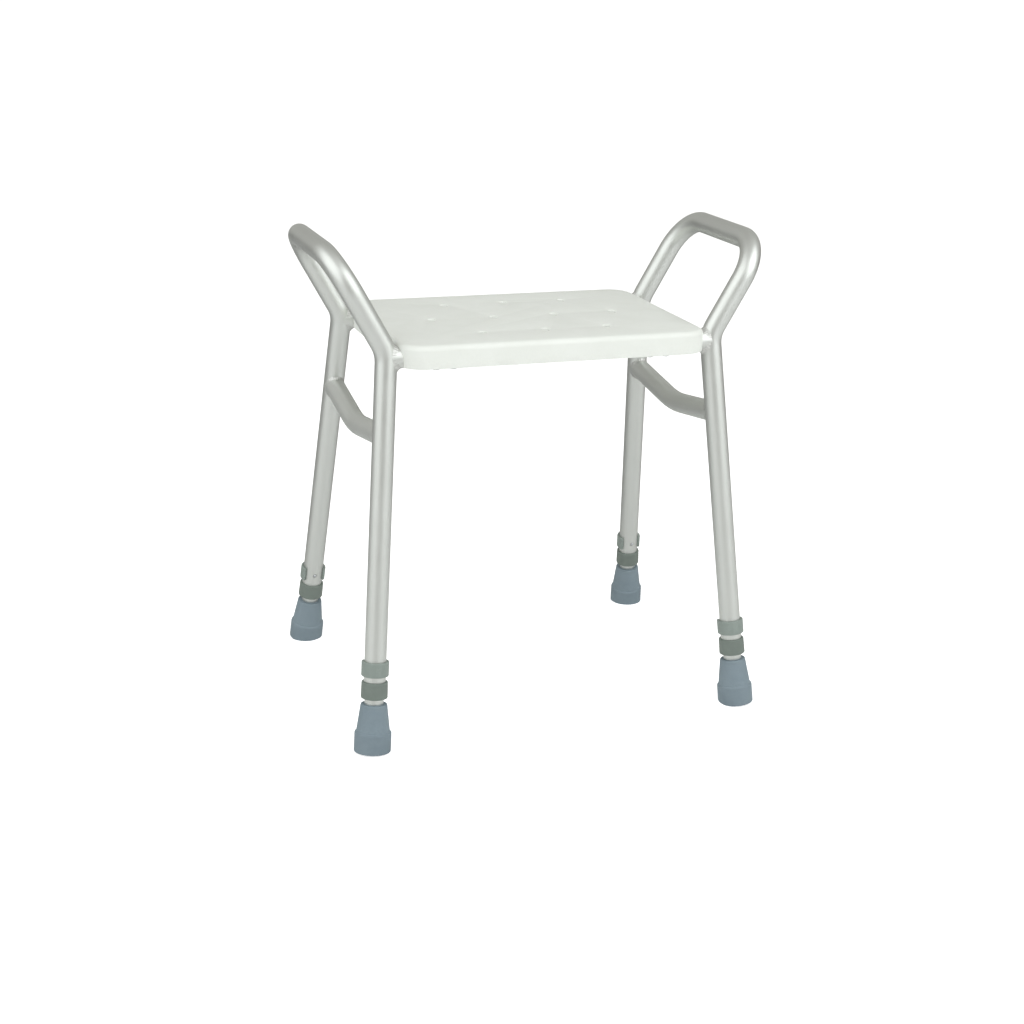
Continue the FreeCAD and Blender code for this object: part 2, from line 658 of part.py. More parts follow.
def clip_pin(corner, x, y):
    """Steel pin fixed in the clip's closed side, through both walls of both tubes."""
    axis, radius = ZERO, "sizes.pin_od / 2"
    point = "-(sizes.tube_od / 2 + sizes.pin_proud)"
    head = "sizes.tube_od / 2 + sizes.clip_play + sizes.clip_wall - sizes.pin_sunk"
    outline = ((point, axis), (point, f"{radius} - sizes.pin_taper"),
               (f"{point} + sizes.pin_taper", radius), (head, radius), (head, axis))
    return turned_piece(f"pin_{corner}", leg_place(x, y, mm("notch_low")), outline, axis="H_Axis")


floor_block = doc.addObject("Part::Box", "floor_block")
bind(floor_block, Length="sizes.levelling", Width="sizes.levelling", Height="sizes.levelling")
half_block = mm("levelling") / 2
floor_block.Placement = Placement(Vector(-half_block, -half_block, -mm("levelling")), Rotation())

MAKERS = (leg_collar, inner_leg, guide_plug, rubber_foot, foot_washer, leg_clip, clip_pin)
for corner, x, y in CORNERS:
    for maker in MAKERS:
        finish(maker(corner, x, y), f"{maker.__name__}_{corner}")

# ---------------------------------------------------------------- check and hand out

doc.recompute()
for feature in doc.Objects:
    if {"Invalid", "Error"} & set(feature.State):
        raise RuntimeError(f"{feature.Label} failed: {feature.State}")
os.makedirs("parts", exist_ok=True)
for feature in sub_parts:
    shape = feature.Shape
    if shape.isNull() or not shape.isValid():
        raise RuntimeError(f"{feature.Label} has no valid shape")
    print(f"{feature.Label}: {len(shape.Solids)} solids, {shape.Volume:.0f} mm3")
for feature in sub_parts:
    feature.Shape.exportStep(f"parts/{feature.Label}.step")
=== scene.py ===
# %% [markdown]
# # A shower stool, built around a fixed frame
# The stool is two side frames of bent aluminium tube, two crossbars between them and a moulded seat
# on top. At the foot of each leg a thinner tube slides inside the outer one, and a clip with a pin
# holds it at its height. The engineering model is loaded first and nothing in it is moved: every new
# piece is measured from it, in metres, and rides on the body that it belongs to.

# %% Load the frame
import json
import math

import bmesh
import bpy
from mathutils import Matrix, Vector
from mathutils.bvhtree import BVHTree


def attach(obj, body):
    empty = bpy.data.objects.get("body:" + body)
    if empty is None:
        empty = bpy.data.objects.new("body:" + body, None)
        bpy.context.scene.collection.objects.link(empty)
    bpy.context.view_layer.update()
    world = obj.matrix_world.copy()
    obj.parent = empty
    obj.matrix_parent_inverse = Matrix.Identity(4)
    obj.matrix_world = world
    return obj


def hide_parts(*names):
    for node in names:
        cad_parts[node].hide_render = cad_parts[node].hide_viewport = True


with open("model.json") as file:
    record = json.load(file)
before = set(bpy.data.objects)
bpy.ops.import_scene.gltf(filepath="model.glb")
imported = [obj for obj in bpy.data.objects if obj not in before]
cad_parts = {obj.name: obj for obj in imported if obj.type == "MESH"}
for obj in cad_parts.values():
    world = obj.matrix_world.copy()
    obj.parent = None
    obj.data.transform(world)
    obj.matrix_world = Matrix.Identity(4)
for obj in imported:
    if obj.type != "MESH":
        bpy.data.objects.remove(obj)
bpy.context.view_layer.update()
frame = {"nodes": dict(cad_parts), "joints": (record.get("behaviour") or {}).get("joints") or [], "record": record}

scene = bpy.context.scene
nodes = frame["nodes"]

# %% [markdown]
# ## Where the legs are
# The legs lean outwards in two directions, so nothing on them is upright. The record already knows
# each leg's line: the point where it meets the floor, the way the leg lengthens, and the way its clip
# is pulled off. Those three make a small frame of axes for each leg, in which every turned part is
# easy: Z is the leg itself and X points at the clip's pin.

# %% A frame of axes for each leg
SIDES = {"left": -1, "right": 1}
ENDS = {"front": -1, "rear": 1}
CORNERS = [f"{end}_{side}" for end in ENDS for side in SIDES]
joints = {joint["name"]: joint for joint in frame["joints"]}
mounts = {mount["name"]: mount for mount in frame["record"]["mounts"]}


def leg_axes(corner):
    """Origin on the floor, Z up the leg, X the way the clip is pulled."""
    foot = Vector(mounts[f"floor_face_{corner}"]["pos_m"])
    up = -Vector(joints[f"height_{corner}"]["axis"])
    pull = Vector(joints[f"clip_pull_{corner}"]["axis"])
    turn = Matrix((pull, up.cross(pull), up)).transposed()
    return Matrix.Translation(foot) @ turn.to_4x4()


leg_place = {corner: leg_axes(corner) for corner in CORNERS}
for corner, place in leg_place.items():
    print(corner, "stands at", [round(n, 4) for n in place.translation])


# %% Measure a CAD node in any frame of axes
def measured(node, place=Matrix()):
    """The lowest and highest corner of a CAD node, seen from a frame of axes."""
    into = place.inverted()
    seen = [into @ vert.co for vert in nodes[node].data.vertices]
    return Vector(map(min, zip(*seen))), Vector(map(max, zip(*seen)))


# The four legs are alike, so one of them gives the sizes of all.
first = "front_left"
tube_end = measured("side_frame_left", leg_place[first])[0].z
collar_low, collar_high = measured(f"leg_collar_{first}", leg_place[first])
clip_low, clip_high = measured(f"leg_clip_{first}", leg_place[first])
pin_low, pin_high = measured(f"clip_pin_{first}", leg_place[first])
inner_low, inner_high = measured(f"inner_leg_{first}", leg_place[first])
foot_high = measured(f"rubber_foot_{first}", leg_place[first])[1]
print(f"the outer tube ends {tube_end * 1000:.1f} mm up the leg")
print(f"the collar is {collar_high.y * 2000:.1f} mm wide")

# %% [markdown]
# ## The viewpoint
# A product is best shown from a little above and a little to one side, so that the seat's top, its
# front edge and the inside of one handle are all seen. A longish lens keeps the legs from splaying.

# %% Camera
STAND = Vector((-0.6702, -1.8041, 0.8830))
HEADING, TILT, ROLL = (math.radians(angle) for angle in (-19.902, -19.407, 1.619))
LENS = 56.9
SHIFT = (0.0073, 0.0054)

camera = bpy.data.objects.new("camera", bpy.data.cameras.new("camera"))
scene.collection.objects.link(camera)
scene.camera = camera
camera.matrix_world = (
    Matrix.Translation(STAND)
    @ Matrix.Rotation(HEADING, 4, "Z")
    @ Matrix.Rotation(math.radians(90) + TILT, 4, "X")
    @ Matrix.Rotation(ROLL, 4, "Z")
)
camera.data.lens = LENS
camera.data.sensor_width = 36.0
camera.data.shift_x, camera.data.shift_y = SHIFT
print(f"camera {STAND.length:.2f} m away with a {LENS} mm lens")


# %% [markdown]
# ## Nodes in a few words
# Materials, lights and backdrops are all small networks of nodes. One helper that adds a node, sets
# it up and wires it in keeps each network readable; a second one starts a group, which is a network
# with named inputs and outputs that several materials can share.

# %% Helpers for node networks
def add_node(tree, kind, inputs=None, **settings):
    """Adds a node; an input is given a plain value or the output that feeds it."""
    made = tree.nodes.new(kind)
    for setting, choice in settings.items():
        setattr(made, setting, choice)
    for socket, value in (inputs or {}).items():
        if isinstance(value, bpy.types.NodeSocket):
            tree.links.new(value, made.inputs[socket])
        else:
            made.inputs[socket].default_value = value
    return made


def new_group(name, takes, gives):
    """An empty shader group; takes maps an input to its starting value, gives lists the outputs."""
    group = bpy.data.node_groups.new(name, "ShaderNodeTree")
    for socket, value in takes.items():
        kind = "NodeSocketVector" if value is None else "NodeSocketFloat"
        made = group.interface.new_socket(socket, in_out="INPUT", socket_type=kind)
        if value is not None:
            made.default_value = value
    for socket in gives:
        group.interface.new_socket(socket, in_out="OUTPUT", socket_type="NodeSocketFloat")
    return group, group.nodes.new("NodeGroupInput"), group.nodes.new("NodeGroupOutput")


def math_node(tree, operation, first, second, clamp=False):
    made = add_node(tree, "ShaderNodeMath", {0: first, 1: second}, operation=operation)
    made.use_clamp = clamp
    return made.outputs[0]


# %% [markdown]
# ## The studio
# Polished tube shows its surroundings more than its own colour, so the studio matters as much as the
# metal. The floor and walls look nearly white to the camera, but what the metal reflects of them is a
# middle grey, as in a real studio, where only the paper sweep is white. The floor's grey is painted
# shade, painted darker towards the back. Two tall soft lights, left and right of the viewpoint, then
# draw two long bright bands down every leg, and a weak one above lifts the seat a little.

# %% Floor
FLOOR_SIZE = 240.0
FLOOR_SEEN, FLOOR_GLOW = (0.93, 0.93, 0.93, 1), 0.70
SWEEP_LIT, SWEEP_SHADED = 0.86, 0.40
SWEEP_TURN = 0.6

scene.view_settings.view_transform = "Standard"
sweep = bmesh.new()
bmesh.ops.create_grid(sweep, x_segments=1, y_segments=1, size=FLOOR_SIZE / 2)
floor_mesh = bpy.data.meshes.new("floor")
sweep.to_mesh(floor_mesh)
sweep.free()
floor = bpy.data.objects.new("floor", floor_mesh)
scene.collection.objects.link(floor)

paper = bpy.data.materials.new("paper_sweep")
paper.use_nodes = True
tree = paper.node_tree
tree.nodes.clear()
path = add_node(tree, "ShaderNodeLightPath")
seen = add_node(tree, "ShaderNodeBsdfDiffuse", {"Color": FLOOR_SEEN})
glow = add_node(tree, "ShaderNodeEmission", {"Color": FLOOR_SEEN, "Strength": FLOOR_GLOW})
lifted = add_node(tree, "ShaderNodeAddShader", {0: seen.outputs[0], 1: glow.outputs[0]})
# Painted shade: the floor that the metal reflects gets a grey colour, painted darker towards the back, from
# SWEEP_LIT in front to SWEEP_SHADED behind.
spot = add_node(tree, "ShaderNodeSeparateXYZ", {
    0: add_node(tree, "ShaderNodeTexCoord").outputs["Object"]})
depth = add_node(tree, "ShaderNodeMapRange", {
    "Value": spot.outputs["Y"], "From Min": 0.0, "From Max": SWEEP_TURN,
    "To Min": SWEEP_LIT, "To Max": SWEEP_SHADED}, interpolation_type="SMOOTHSTEP")
mirrored = add_node(tree, "ShaderNodeBsdfDiffuse", {"Color": depth.outputs[0]})
either = add_node(tree, "ShaderNodeMixShader", {
    0: path.outputs["Is Camera Ray"], 1: mirrored.outputs[0], 2: lifted.outputs[0]})
add_node(tree, "ShaderNodeOutputMaterial", {"Surface": either.outputs[0]})
floor_mesh.materials.append(paper)
print(f"floor {FLOOR_SIZE:.0f} m across")

# %% Walls
WARM, WHITE = (1.0, 1.0, 0.95, 1), (1, 1, 1, 1)
WALL_LOW, WALL_HIGH = 0.43, 0.46

world = bpy.data.worlds.new("studio_walls")
scene.world = world
world.use_nodes = True
tree = world.node_tree
tree.nodes.clear()
path = add_node(tree, "ShaderNodeLightPath")
direction = add_node(tree, "ShaderNodeTexCoord")
height = add_node(tree, "ShaderNodeSeparateXYZ", {0: direction.outputs["Generated"]})
shade = add_node(tree, "ShaderNodeMapRange", {
    "Value": height.outputs["Z"], "From Min": 0.0, "From Max": 1.0,
    "To Min": WALL_LOW, "To Max": WALL_HIGH})
walls = add_node(tree, "ShaderNodeBackground", {"Color": WARM, "Strength": shade.outputs[0]})
white = add_node(tree, "ShaderNodeBackground", {"Color": WHITE, "Strength": 1.0})
either = add_node(tree, "ShaderNodeMixShader", {
    0: path.outputs["Is Camera Ray"], 1: walls.outputs[0], 2: white.outputs[0]})
add_node(tree, "ShaderNodeOutputWorld", {"Surface": either.outputs[0]})
print(f"walls reflect as {WALL_LOW} to {WALL_HIGH}")


# %% Soft lights
COOL = (0.95, 0.99, 1.0)


def soft_light(name, azimuth, elevation, distance, width, height, power):
    """A rectangular light that looks at the seat. Azimuth 0 is in front, 90 at the right."""
    turn, rise = math.radians(azimuth), math.radians(elevation)
    target = Vector((0, 0, measured("seat")[0].z))
    out = Vector((math.sin(turn) * math.cos(rise), -math.cos(turn) * math.cos(rise), math.sin(rise)))
    lamp = bpy.data.lights.new(name, "AREA")
    lamp.shape = "RECTANGLE"
    lamp.size, lamp.size_y = width, height
    lamp.energy = power
    lamp.color = COOL
    light = bpy.data.objects.new(name, lamp)
    turn_to = out.to_track_quat("Z", "Y").to_matrix().to_4x4()
    light.matrix_world = Matrix.Translation(target + out * distance) @ turn_to
    scene.collection.objects.link(light)
    print(f"{name}: {power} W at {azimuth} degrees")


soft_light("left_light", azimuth=-78, elevation=30, distance=2.6, width=3.8, height=3.2, power=42)
soft_light("right_light", azimuth=38, elevation=32, distance=2.6, width=3.0, height=3.0, power=42)
soft_light("top_light", azimuth=0, elevation=70, distance=2.2, width=3.0, height=3.0, power=5)

# %% [markdown]
# ## Surface effects
# Four effects are shared. Drawn tube has hair-fine lines along its length. Moulded plastic and rubber
# have a fine even grain. Everything that hands touch has faint, cloudy marks. And rims wear first, so
# a number stored on the mesh, high where the surface turns sharply, is broken up by noise.

# %% Shared shader groups
LINE_STRETCH = 0.012


def drawn_lines():
    """Fine lines along Z of the given coordinates."""
    group, takes, gives = new_group("Drawn lines", {"Vector": None, "Per Metre": 3000.0}, ["Lines"])
    squeezed = add_node(group, "ShaderNodeVectorMath", {
        0: takes.outputs["Vector"], 1: (1, 1, LINE_STRETCH)}, operation="MULTIPLY")
    noise = add_node(group, "ShaderNodeTexNoise", {
        "Vector": squeezed.outputs[0], "Scale": takes.outputs["Per Metre"], "Detail": 2.0})
    group.links.new(noise.outputs["Fac"], gives.inputs["Lines"])
    return group


def moulded_grain():
    """The fine even texture that a blasted mould leaves."""
    group, takes, gives = new_group("Moulded grain", {"Vector": None, "Per Metre": 2500.0}, ["Grain"])
    cells = add_node(group, "ShaderNodeTexVoronoi", {
        "Vector": takes.outputs["Vector"], "Scale": takes.outputs["Per Metre"]}, feature="SMOOTH_F1")
    fine = add_node(group, "ShaderNodeTexNoise", {
        "Vector": takes.outputs["Vector"], "Scale": takes.outputs["Per Metre"], "Detail": 1.0})
    both = math_node(group, "ADD", cells.outputs["Distance"], fine.outputs["Fac"])
    group.links.new(both, gives.inputs["Grain"])
    return group


def handling_marks():
    """Soft clouds, from 0 to 1, where a surface has been touched and wiped."""
    group, takes, gives = new_group("Handling marks", {"Vector": None, "Per Metre": 14.0}, ["Marks"])
    clouds = add_node(group, "ShaderNodeTexNoise", {
        "Vector": takes.outputs["Vector"], "Scale": takes.outputs["Per Metre"], "Detail": 5.0,
        "Roughness": 0.62, "Distortion": 0.4})
    spread = add_node(group, "ShaderNodeMapRange", {
        "Value": clouds.outputs["Fac"], "From Min": 0.35, "From Max": 0.68},
        interpolation_type="SMOOTHSTEP")
    group.links.new(spread.outputs[0], gives.inputs["Marks"])
    return group


def rim_wear():
    """How worn the surface is, from the mesh's own rim value and noise."""
    group, takes, gives = new_group("Rim wear", {"Vector": None, "Per Metre": 350.0}, ["Wear"])
    rim = add_node(group, "ShaderNodeAttribute", attribute_name="rim")
    patches = add_node(group, "ShaderNodeTexNoise", {
        "Vector": takes.outputs["Vector"], "Scale": takes.outputs["Per Metre"], "Detail": 3.0})
    worn = math_node(group, "MULTIPLY", rim.outputs["Fac"], patches.outputs["Fac"], clamp=True)
    group.links.new(worn, gives.inputs["Wear"])
    return group


GROUPS = {make.__name__: make() for make in (drawn_lines, moulded_grain, handling_marks, rim_wear)}
print("groups:", sorted(group.name for group in GROUPS.values()))


# %% Place a group in a material
def effect(tree, name, vector, per_metre):
    """One shared effect with this material's own scale; returns its output."""
    made = add_node(tree, "ShaderNodeGroup", node_tree=GROUPS[name])
    made.inputs["Per Metre"].default_value = per_metre
    tree.links.new(vector, made.inputs["Vector"])
    return made.outputs[0]


def between(tree, mask, low, high):
    """A number that follows a mask from low to high."""
    made = add_node(tree, "ShaderNodeMapRange", {"Value": mask, "To Min": low, "To Max": high})
    return made.outputs[0]


def tint(tree, mask, low, high):
    """A colour that follows a mask from low to high."""
    made = add_node(tree, "ShaderNodeMix", data_type="RGBA")
    tree.links.new(mask, made.inputs[0])
    made.inputs[6].default_value = (*low, 1)
    made.inputs[7].default_value = (*high, 1)
    return made.outputs[2]


def new_material(name, metallic, coordinates="Object"):
    """A material with its shader; returns it with its tree, shader and coordinates."""
    material = bpy.data.materials.new(name)
    material.use_nodes = True
    tree = material.node_tree
    tree.nodes.clear()
    shader = add_node(tree, "ShaderNodeBsdfPrincipled", {"Metallic": metallic})
    add_node(tree, "ShaderNodeOutputMaterial", {"Surface": shader.outputs[0]})
    if coordinates == "Object":
        vector = add_node(tree, "ShaderNodeTexCoord").outputs["Object"]
    else:
        vector = add_node(tree, "ShaderNodeAttribute", attribute_name=coordinates).outputs["Vector"]
    return material, tree, shader, vector


def rough_bump(tree, shader, height, strength, depth):
    """Feeds a height to the shader's normal through a bump."""
    bump = add_node(tree, "ShaderNodeBump", {"Height": height, "Strength": strength, "Distance": depth})
    tree.links.new(bump.outputs["Normal"], shader.inputs["Normal"])


# %% [markdown]
# ## Aluminium
# The tubes are anodised: a clear, slightly warm satin skin over bright metal. The lines of the
# drawing die must follow the tube around its bends, so the bent tubes carry their own coordinates,
# called `tube_place`, and the straight crossbars simply use object coordinates laid on their side.
# Inner tubes are the same metal, wiped by the collar each time they slide.

# %% Tube and weld materials
SATIN_DARK, SATIN_LIGHT = (0.66, 0.67, 0.64), (0.73, 0.74, 0.72)
SATIN_SPREAD = 0.035
WELD_DARK, WELD_LIGHT = (0.58, 0.58, 0.56), (0.72, 0.72, 0.70)
ZINC_DULL, ZINC_BRIGHT = (0.55, 0.56, 0.58), (0.74, 0.74, 0.73)


def anodised(name, coordinates, roughness, lay_down=False):
    """Satin tube; lay_down turns the lines to run along X."""
    material, tree, shader, vector = new_material(name, 1.0, coordinates)
    if lay_down:
        vector = add_node(tree, "ShaderNodeMapping", {
            "Vector": vector, "Rotation": (0, math.radians(90), 0)}).outputs[0]
    lines = effect(tree, "drawn_lines", vector, per_metre=3200)
    marks = effect(tree, "handling_marks", vector, per_metre=16)
    tree.links.new(tint(tree, lines, SATIN_DARK, SATIN_LIGHT), shader.inputs["Base Color"])
    satin = between(tree, marks, roughness - SATIN_SPREAD, roughness + SATIN_SPREAD)
    tree.links.new(satin, shader.inputs["Roughness"])
    rough_bump(tree, shader, lines, strength=0.10, depth=0.00003)
    return material


def weld_metal():
    """Filler that is duller and lumpier than the tube."""
    material, tree, shader, vector = new_material("weld_metal", 1.0)
    marks = effect(tree, "handling_marks", vector, per_metre=220)
    grain = effect(tree, "moulded_grain", vector, per_metre=3500)
    tree.links.new(tint(tree, marks, WELD_DARK, WELD_LIGHT), shader.inputs["Base Color"])
    tree.links.new(between(tree, marks, 0.40, 0.54), shader.inputs["Roughness"])
    rough_bump(tree, shader, grain, strength=0.25, depth=0.00005)
    return material


def zinc_steel():
    """Plated steel, brighter where the rims are rubbed."""
    material, tree, shader, vector = new_material("zinc_steel", 1.0)
    marks = effect(tree, "handling_marks", vector, per_metre=180)
    wear = effect(tree, "rim_wear", vector, per_metre=900)
    tree.links.new(tint(tree, wear, ZINC_DULL, ZINC_BRIGHT), shader.inputs["Base Color"])
    tree.links.new(between(tree, marks, 0.24, 0.42), shader.inputs["Roughness"])
    return material


FINISH = {
    "outer_tube": anodised("outer_tube", "tube_place", 0.44),
    "inner_tube": anodised("inner_tube", "tube_place", 0.36),
    "brace_tube": anodised("brace_tube", "tube_place", 0.56),
    "crossbar_tube": anodised("crossbar_tube", "Object", 0.42, lay_down=True),
    "weld_metal": weld_metal(),
    "zinc_steel": zinc_steel(),
}
print("metals:", sorted(FINISH))

# %% [markdown]
# ## Plastic and rubber
# The seat is moulded polypropylene with a faint matt texture, the collars and clips are nylon in two
# greys, and the feet are a blue-grey rubber that keeps a dusty bloom. They differ in colour, grain and
# gloss, so one recipe with different numbers makes them all.


# %% A recipe for moulded materials
WORN_LIFT = 1.12
GLOSS_SPREAD = 0.05
GRAIN_STRENGTH = 0.35


def moulded(name, dull, clean, roughness, grain_per_metre, grain_depth):
    """Dull and clean are the colours of touched and untouched surface."""
    material, tree, shader, vector = new_material(name, 0.0)
    marks = effect(tree, "handling_marks", vector, per_metre=22)
    wear = effect(tree, "rim_wear", vector, per_metre=400)
    grain = effect(tree, "moulded_grain", vector, grain_per_metre)
    worn = tuple(min(1.0, channel * WORN_LIFT) for channel in clean)
    body = tint(tree, marks, dull, clean)
    rimmed = add_node(tree, "ShaderNodeMix", data_type="RGBA")
    tree.links.new(wear, rimmed.inputs[0])
    tree.links.new(body, rimmed.inputs[6])
    rimmed.inputs[7].default_value = (*worn, 1)
    tree.links.new(rimmed.outputs[2], shader.inputs["Base Color"])
    gloss = between(tree, marks, roughness + GLOSS_SPREAD, roughness - GLOSS_SPREAD)
    tree.links.new(gloss, shader.inputs["Roughness"])
    rough_bump(tree, shader, grain, GRAIN_STRENGTH, grain_depth)
    return material


# %% Plastics and rubber
FINISH["seat_plastic"] = moulded(
    "seat_plastic", dull=(0.825, 0.838, 0.795), clean=(0.852, 0.865, 0.825),
    roughness=0.46, grain_per_metre=2600, grain_depth=0.00003)
FINISH["collar_plastic"] = moulded(
    "collar_plastic", dull=(0.163, 0.192, 0.172), clean=(0.183, 0.215, 0.192),
    roughness=0.50, grain_per_metre=3200, grain_depth=0.00003)
FINISH["clip_plastic"] = moulded(
    "clip_plastic", dull=(0.245, 0.285, 0.262), clean=(0.272, 0.312, 0.290),
    roughness=0.42, grain_per_metre=3200, grain_depth=0.00003)
FINISH["plug_plastic"] = moulded(
    "plug_plastic", dull=(0.038, 0.040, 0.040), clean=(0.050, 0.053, 0.052),
    roughness=0.50, grain_per_metre=3200, grain_depth=0.00003)
FINISH["foot_rubber"] = moulded(
    "foot_rubber", dull=(0.190, 0.240, 0.276), clean=(0.216, 0.270, 0.308),
    roughness=0.62, grain_per_metre=1800, grain_depth=0.00005)
print("finishes:", sorted(FINISH))

# %% [markdown]
# ## The bench
# A bmesh is a mesh on the bench: it is shaped by operators and only then becomes an object. These
# helpers are the tools that lie ready: a lathe, a rod, an edge softener, a boolean carver, and one
# function that finishes a piece. Finishing stores the rim value, sets which edges shade sharply,
# gives the material, hangs the piece on the body that it rides on, and hides the CAD nodes that it
# stands for.

# %% Lathe, rod and soft edges
MERGE = 1e-6
ROUND, SMALL_ROUND = 72, 32
CREASE = math.radians(32)
ONTO_X = Matrix.Rotation(math.radians(90), 4, "Y")


def lathe(outline, closed, steps=ROUND):
    """Spins an outline of (radius, height) points a full turn about Z."""
    bm = bmesh.new()
    verts = [bm.verts.new((radius, 0, height)) for radius, height in outline]
    following = verts[1:] + verts[:1] if closed else verts[1:]
    edges = [bm.edges.new(pair) for pair in zip(verts, following)]
    bmesh.ops.spin(bm, geom=verts + edges, cent=(0, 0, 0), axis=(0, 0, 1), dvec=(0, 0, 0),
                   angle=math.tau, steps=steps, use_merge=True, use_duplicate=False)
    bmesh.ops.remove_doubles(bm, verts=bm.verts, dist=MERGE)
    bmesh.ops.recalc_face_normals(bm, faces=bm.faces)
    return bm


def add_rod(bm, radius, length, place, sides=ROUND):
    """A solid rod along Z of a place, half its length to each side."""
    bmesh.ops.create_cone(bm, cap_ends=True, segments=sides, radius1=radius, radius2=radius,
                          depth=length, matrix=place)


def lay_along_x(bm):
    """Turns a piece that stands along Z so that it lies along X."""
    bmesh.ops.rotate(bm, verts=bm.verts, cent=(0, 0, 0), matrix=ONTO_X.to_3x3())


def close_ends(bm):
    """Fills the open outlines and points all faces outwards."""
    bmesh.ops.holes_fill(bm, edges=[edge for edge in bm.edges if edge.is_boundary])
    bmesh.ops.recalc_face_normals(bm, faces=bm.faces)


def soften(bm, width, chosen, segments):
    """Rounds the edges that chosen picks."""
    edges = [edge for edge in bm.edges if chosen(edge)]
    bmesh.ops.bevel(bm, geom=edges, offset=width, offset_type="OFFSET", segments=segments,
                    profile=0.5, affect="EDGES", clamp_overlap=True, material=-1)


def is_corner(edge):
    """An edge where two faces meet at more than the crease angle."""
    return edge.calc_face_angle(0.0) > CREASE


# %% Objects, and carving one with another
def on_bench(bm, name):
    """Turns a bmesh into an object."""
    mesh = bpy.data.meshes.new(name)
    bm.to_mesh(mesh)
    bm.free()
    piece = bpy.data.objects.new(name, mesh)
    scene.collection.objects.link(piece)
    return piece


def carve(piece, tool, operation="DIFFERENCE"):
    """Cuts a tool out of a piece, or adds it, and throws the tool away."""
    carving = piece.modifiers.new("carving", "BOOLEAN")
    carving.operation = operation
    carving.solver = "EXACT"
    carving.use_self = operation == "UNION"
    carving.object = tool
    carved = piece.evaluated_get(bpy.context.evaluated_depsgraph_get())
    rough = piece.data
    result = bpy.data.meshes.new_from_object(carved)
    piece.modifiers.clear()
    piece.data = result
    result.name = piece.name
    bpy.data.meshes.remove(rough)
    bpy.data.objects.remove(tool)
    return piece


# %% Finishing a piece
RIM_LOW, RIM_HIGH = math.radians(8), math.radians(28)


def store_rims(mesh):
    """Writes how sharply the surface turns at each vertex, from 0 to 1."""
    bm = bmesh.new()
    bm.from_mesh(mesh)
    rim = bm.verts.layers.float.new("rim")
    for vert in bm.verts:
        sharpest = max((edge.calc_face_angle(0.0) for edge in vert.link_edges), default=0.0)
        vert[rim] = min(1.0, max(0.0, (sharpest - RIM_LOW) / (RIM_HIGH - RIM_LOW)))
    bm.to_mesh(mesh)
    bm.free()


def finish_piece(piece, finish, slot, body, *stands_for):
    """Shading, material and the place of a piece in the frame."""
    mesh = piece.data
    store_rims(mesh)
    mesh.shade_smooth()
    mesh.set_sharp_from_angle(angle=CREASE)
    mesh.materials.clear()
    mesh.materials.append(FINISH[finish])
    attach(piece, body)
    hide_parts(*stands_for)
    print(f"{piece.name}: {len(mesh.vertices)} vertices, {len(mesh.polygons)} faces")
    return piece


# %% [markdown]
# ## Bending tube
# A tube bender feeds straight tube, clamps it and turns it about a former, and the same two moves
# make it here. A ring of edges is pushed forward for a straight run and spun, a step at a time, for a
# bend. Each new ring notes how far the tube has travelled, so that the drawn lines can follow it.

# %% A bender for bmesh
BEND_STEP = math.radians(4)


def ring_of(geometry):
    """The vertices and edges of the newest ring, from what an extrusion returned."""
    verts = {item for item in geometry if isinstance(item, bmesh.types.BMVert)}
    edges = [item for item in geometry
             if isinstance(item, bmesh.types.BMEdge) and set(item.verts) <= verts]
    return list(verts), edges


def bend_tube(points, formers, radius):
    """An open tube along the points, with a bend about each inner one."""
    bm = bmesh.new()
    tube_place = bm.verts.layers.float_vector.new("tube_place")
    bmesh.ops.create_circle(bm, segments=ROUND, radius=radius, cap_ends=False)
    for vert in bm.verts:
        vert[tube_place] = vert.co
    heading = (points[1] - points[0]).normalized()
    start = Matrix.Translation(points[0]) @ heading.to_track_quat("Z", "Y").to_matrix().to_4x4()
    bmesh.ops.transform(bm, matrix=start, verts=bm.verts)
    ring, here, travelled = bm.edges[:], points[0], 0.0

    def note(verts):
        for vert in verts:
            vert[tube_place].z = travelled

    def straight(ring, goal):
        verts, ring = ring_of(bmesh.ops.extrude_edge_only(bm, edges=ring)["geom"])
        bmesh.ops.translate(bm, verts=verts, vec=goal - here)
        note(verts)
        return ring

    for before, corner, after, former in zip(points, points[1:], points[2:], formers):
        inward, onward = (corner - before).normalized(), (after - corner).normalized()
        turn = inward.angle(onward)
        bend_start = corner - inward * former * math.tan(turn / 2)
        travelled += (bend_start - here).length
        ring = straight(ring, bend_start)
        axis = inward.cross(onward).normalized()
        centre = bend_start + axis.cross(inward) * former
        steps = max(2, round(turn / BEND_STEP))
        for _ in range(steps):
            turned = bmesh.ops.spin(bm, geom=ring, cent=centre, axis=axis, dvec=(0, 0, 0),
                                    angle=turn / steps, steps=1, use_duplicate=False)["geom_last"]
            verts, ring = ring_of(turned)
            travelled += former * turn / steps
            note(verts)
        here = corner + onward * former * math.tan(turn / 2)
    travelled += (points[-1] - here).length
    straight(ring, points[-1])
    bmesh.ops.recalc_face_normals(bm, faces=bm.faces)
    return bm


# %% Walls, holes and places on a leg
def give_wall(bm, wall):
    """Thickens an open tube inwards."""
    bmesh.ops.solidify(bm, geom=bm.faces, thickness=wall)


def drill(piece, places, radius, reach):
    """Round holes along the X axis of each place."""
    bm = bmesh.new()
    for place in places:
        add_rod(bm, radius, reach, place @ ONTO_X, SMALL_ROUND)
    carve(piece, on_bench(bm, "drill"))


def on_leg(corner, height):
    """The leg's centreline at a height above the floor."""
    place = leg_place[corner]
    up = place.col[2].xyz
    return place.translation + up * (height / up.z)


def along_leg(corner, distance):
    """A leg's axes, moved up the leg."""
    return leg_place[corner] @ Matrix.Translation((0, 0, distance))


# %% [markdown]
# ## Side frames
# Each side frame is one length of tube: up the front leg, out and up to the handle, along it, and down
# the rear leg the same way. Only a few sizes describe it, and the rest comes from the frame: where the
# leg's line reaches the bend beside the seat, how far out and how high the handle lies, and where the
# tube ends. The wall is added last, then the hole for the clip's pin is drilled through both sides.

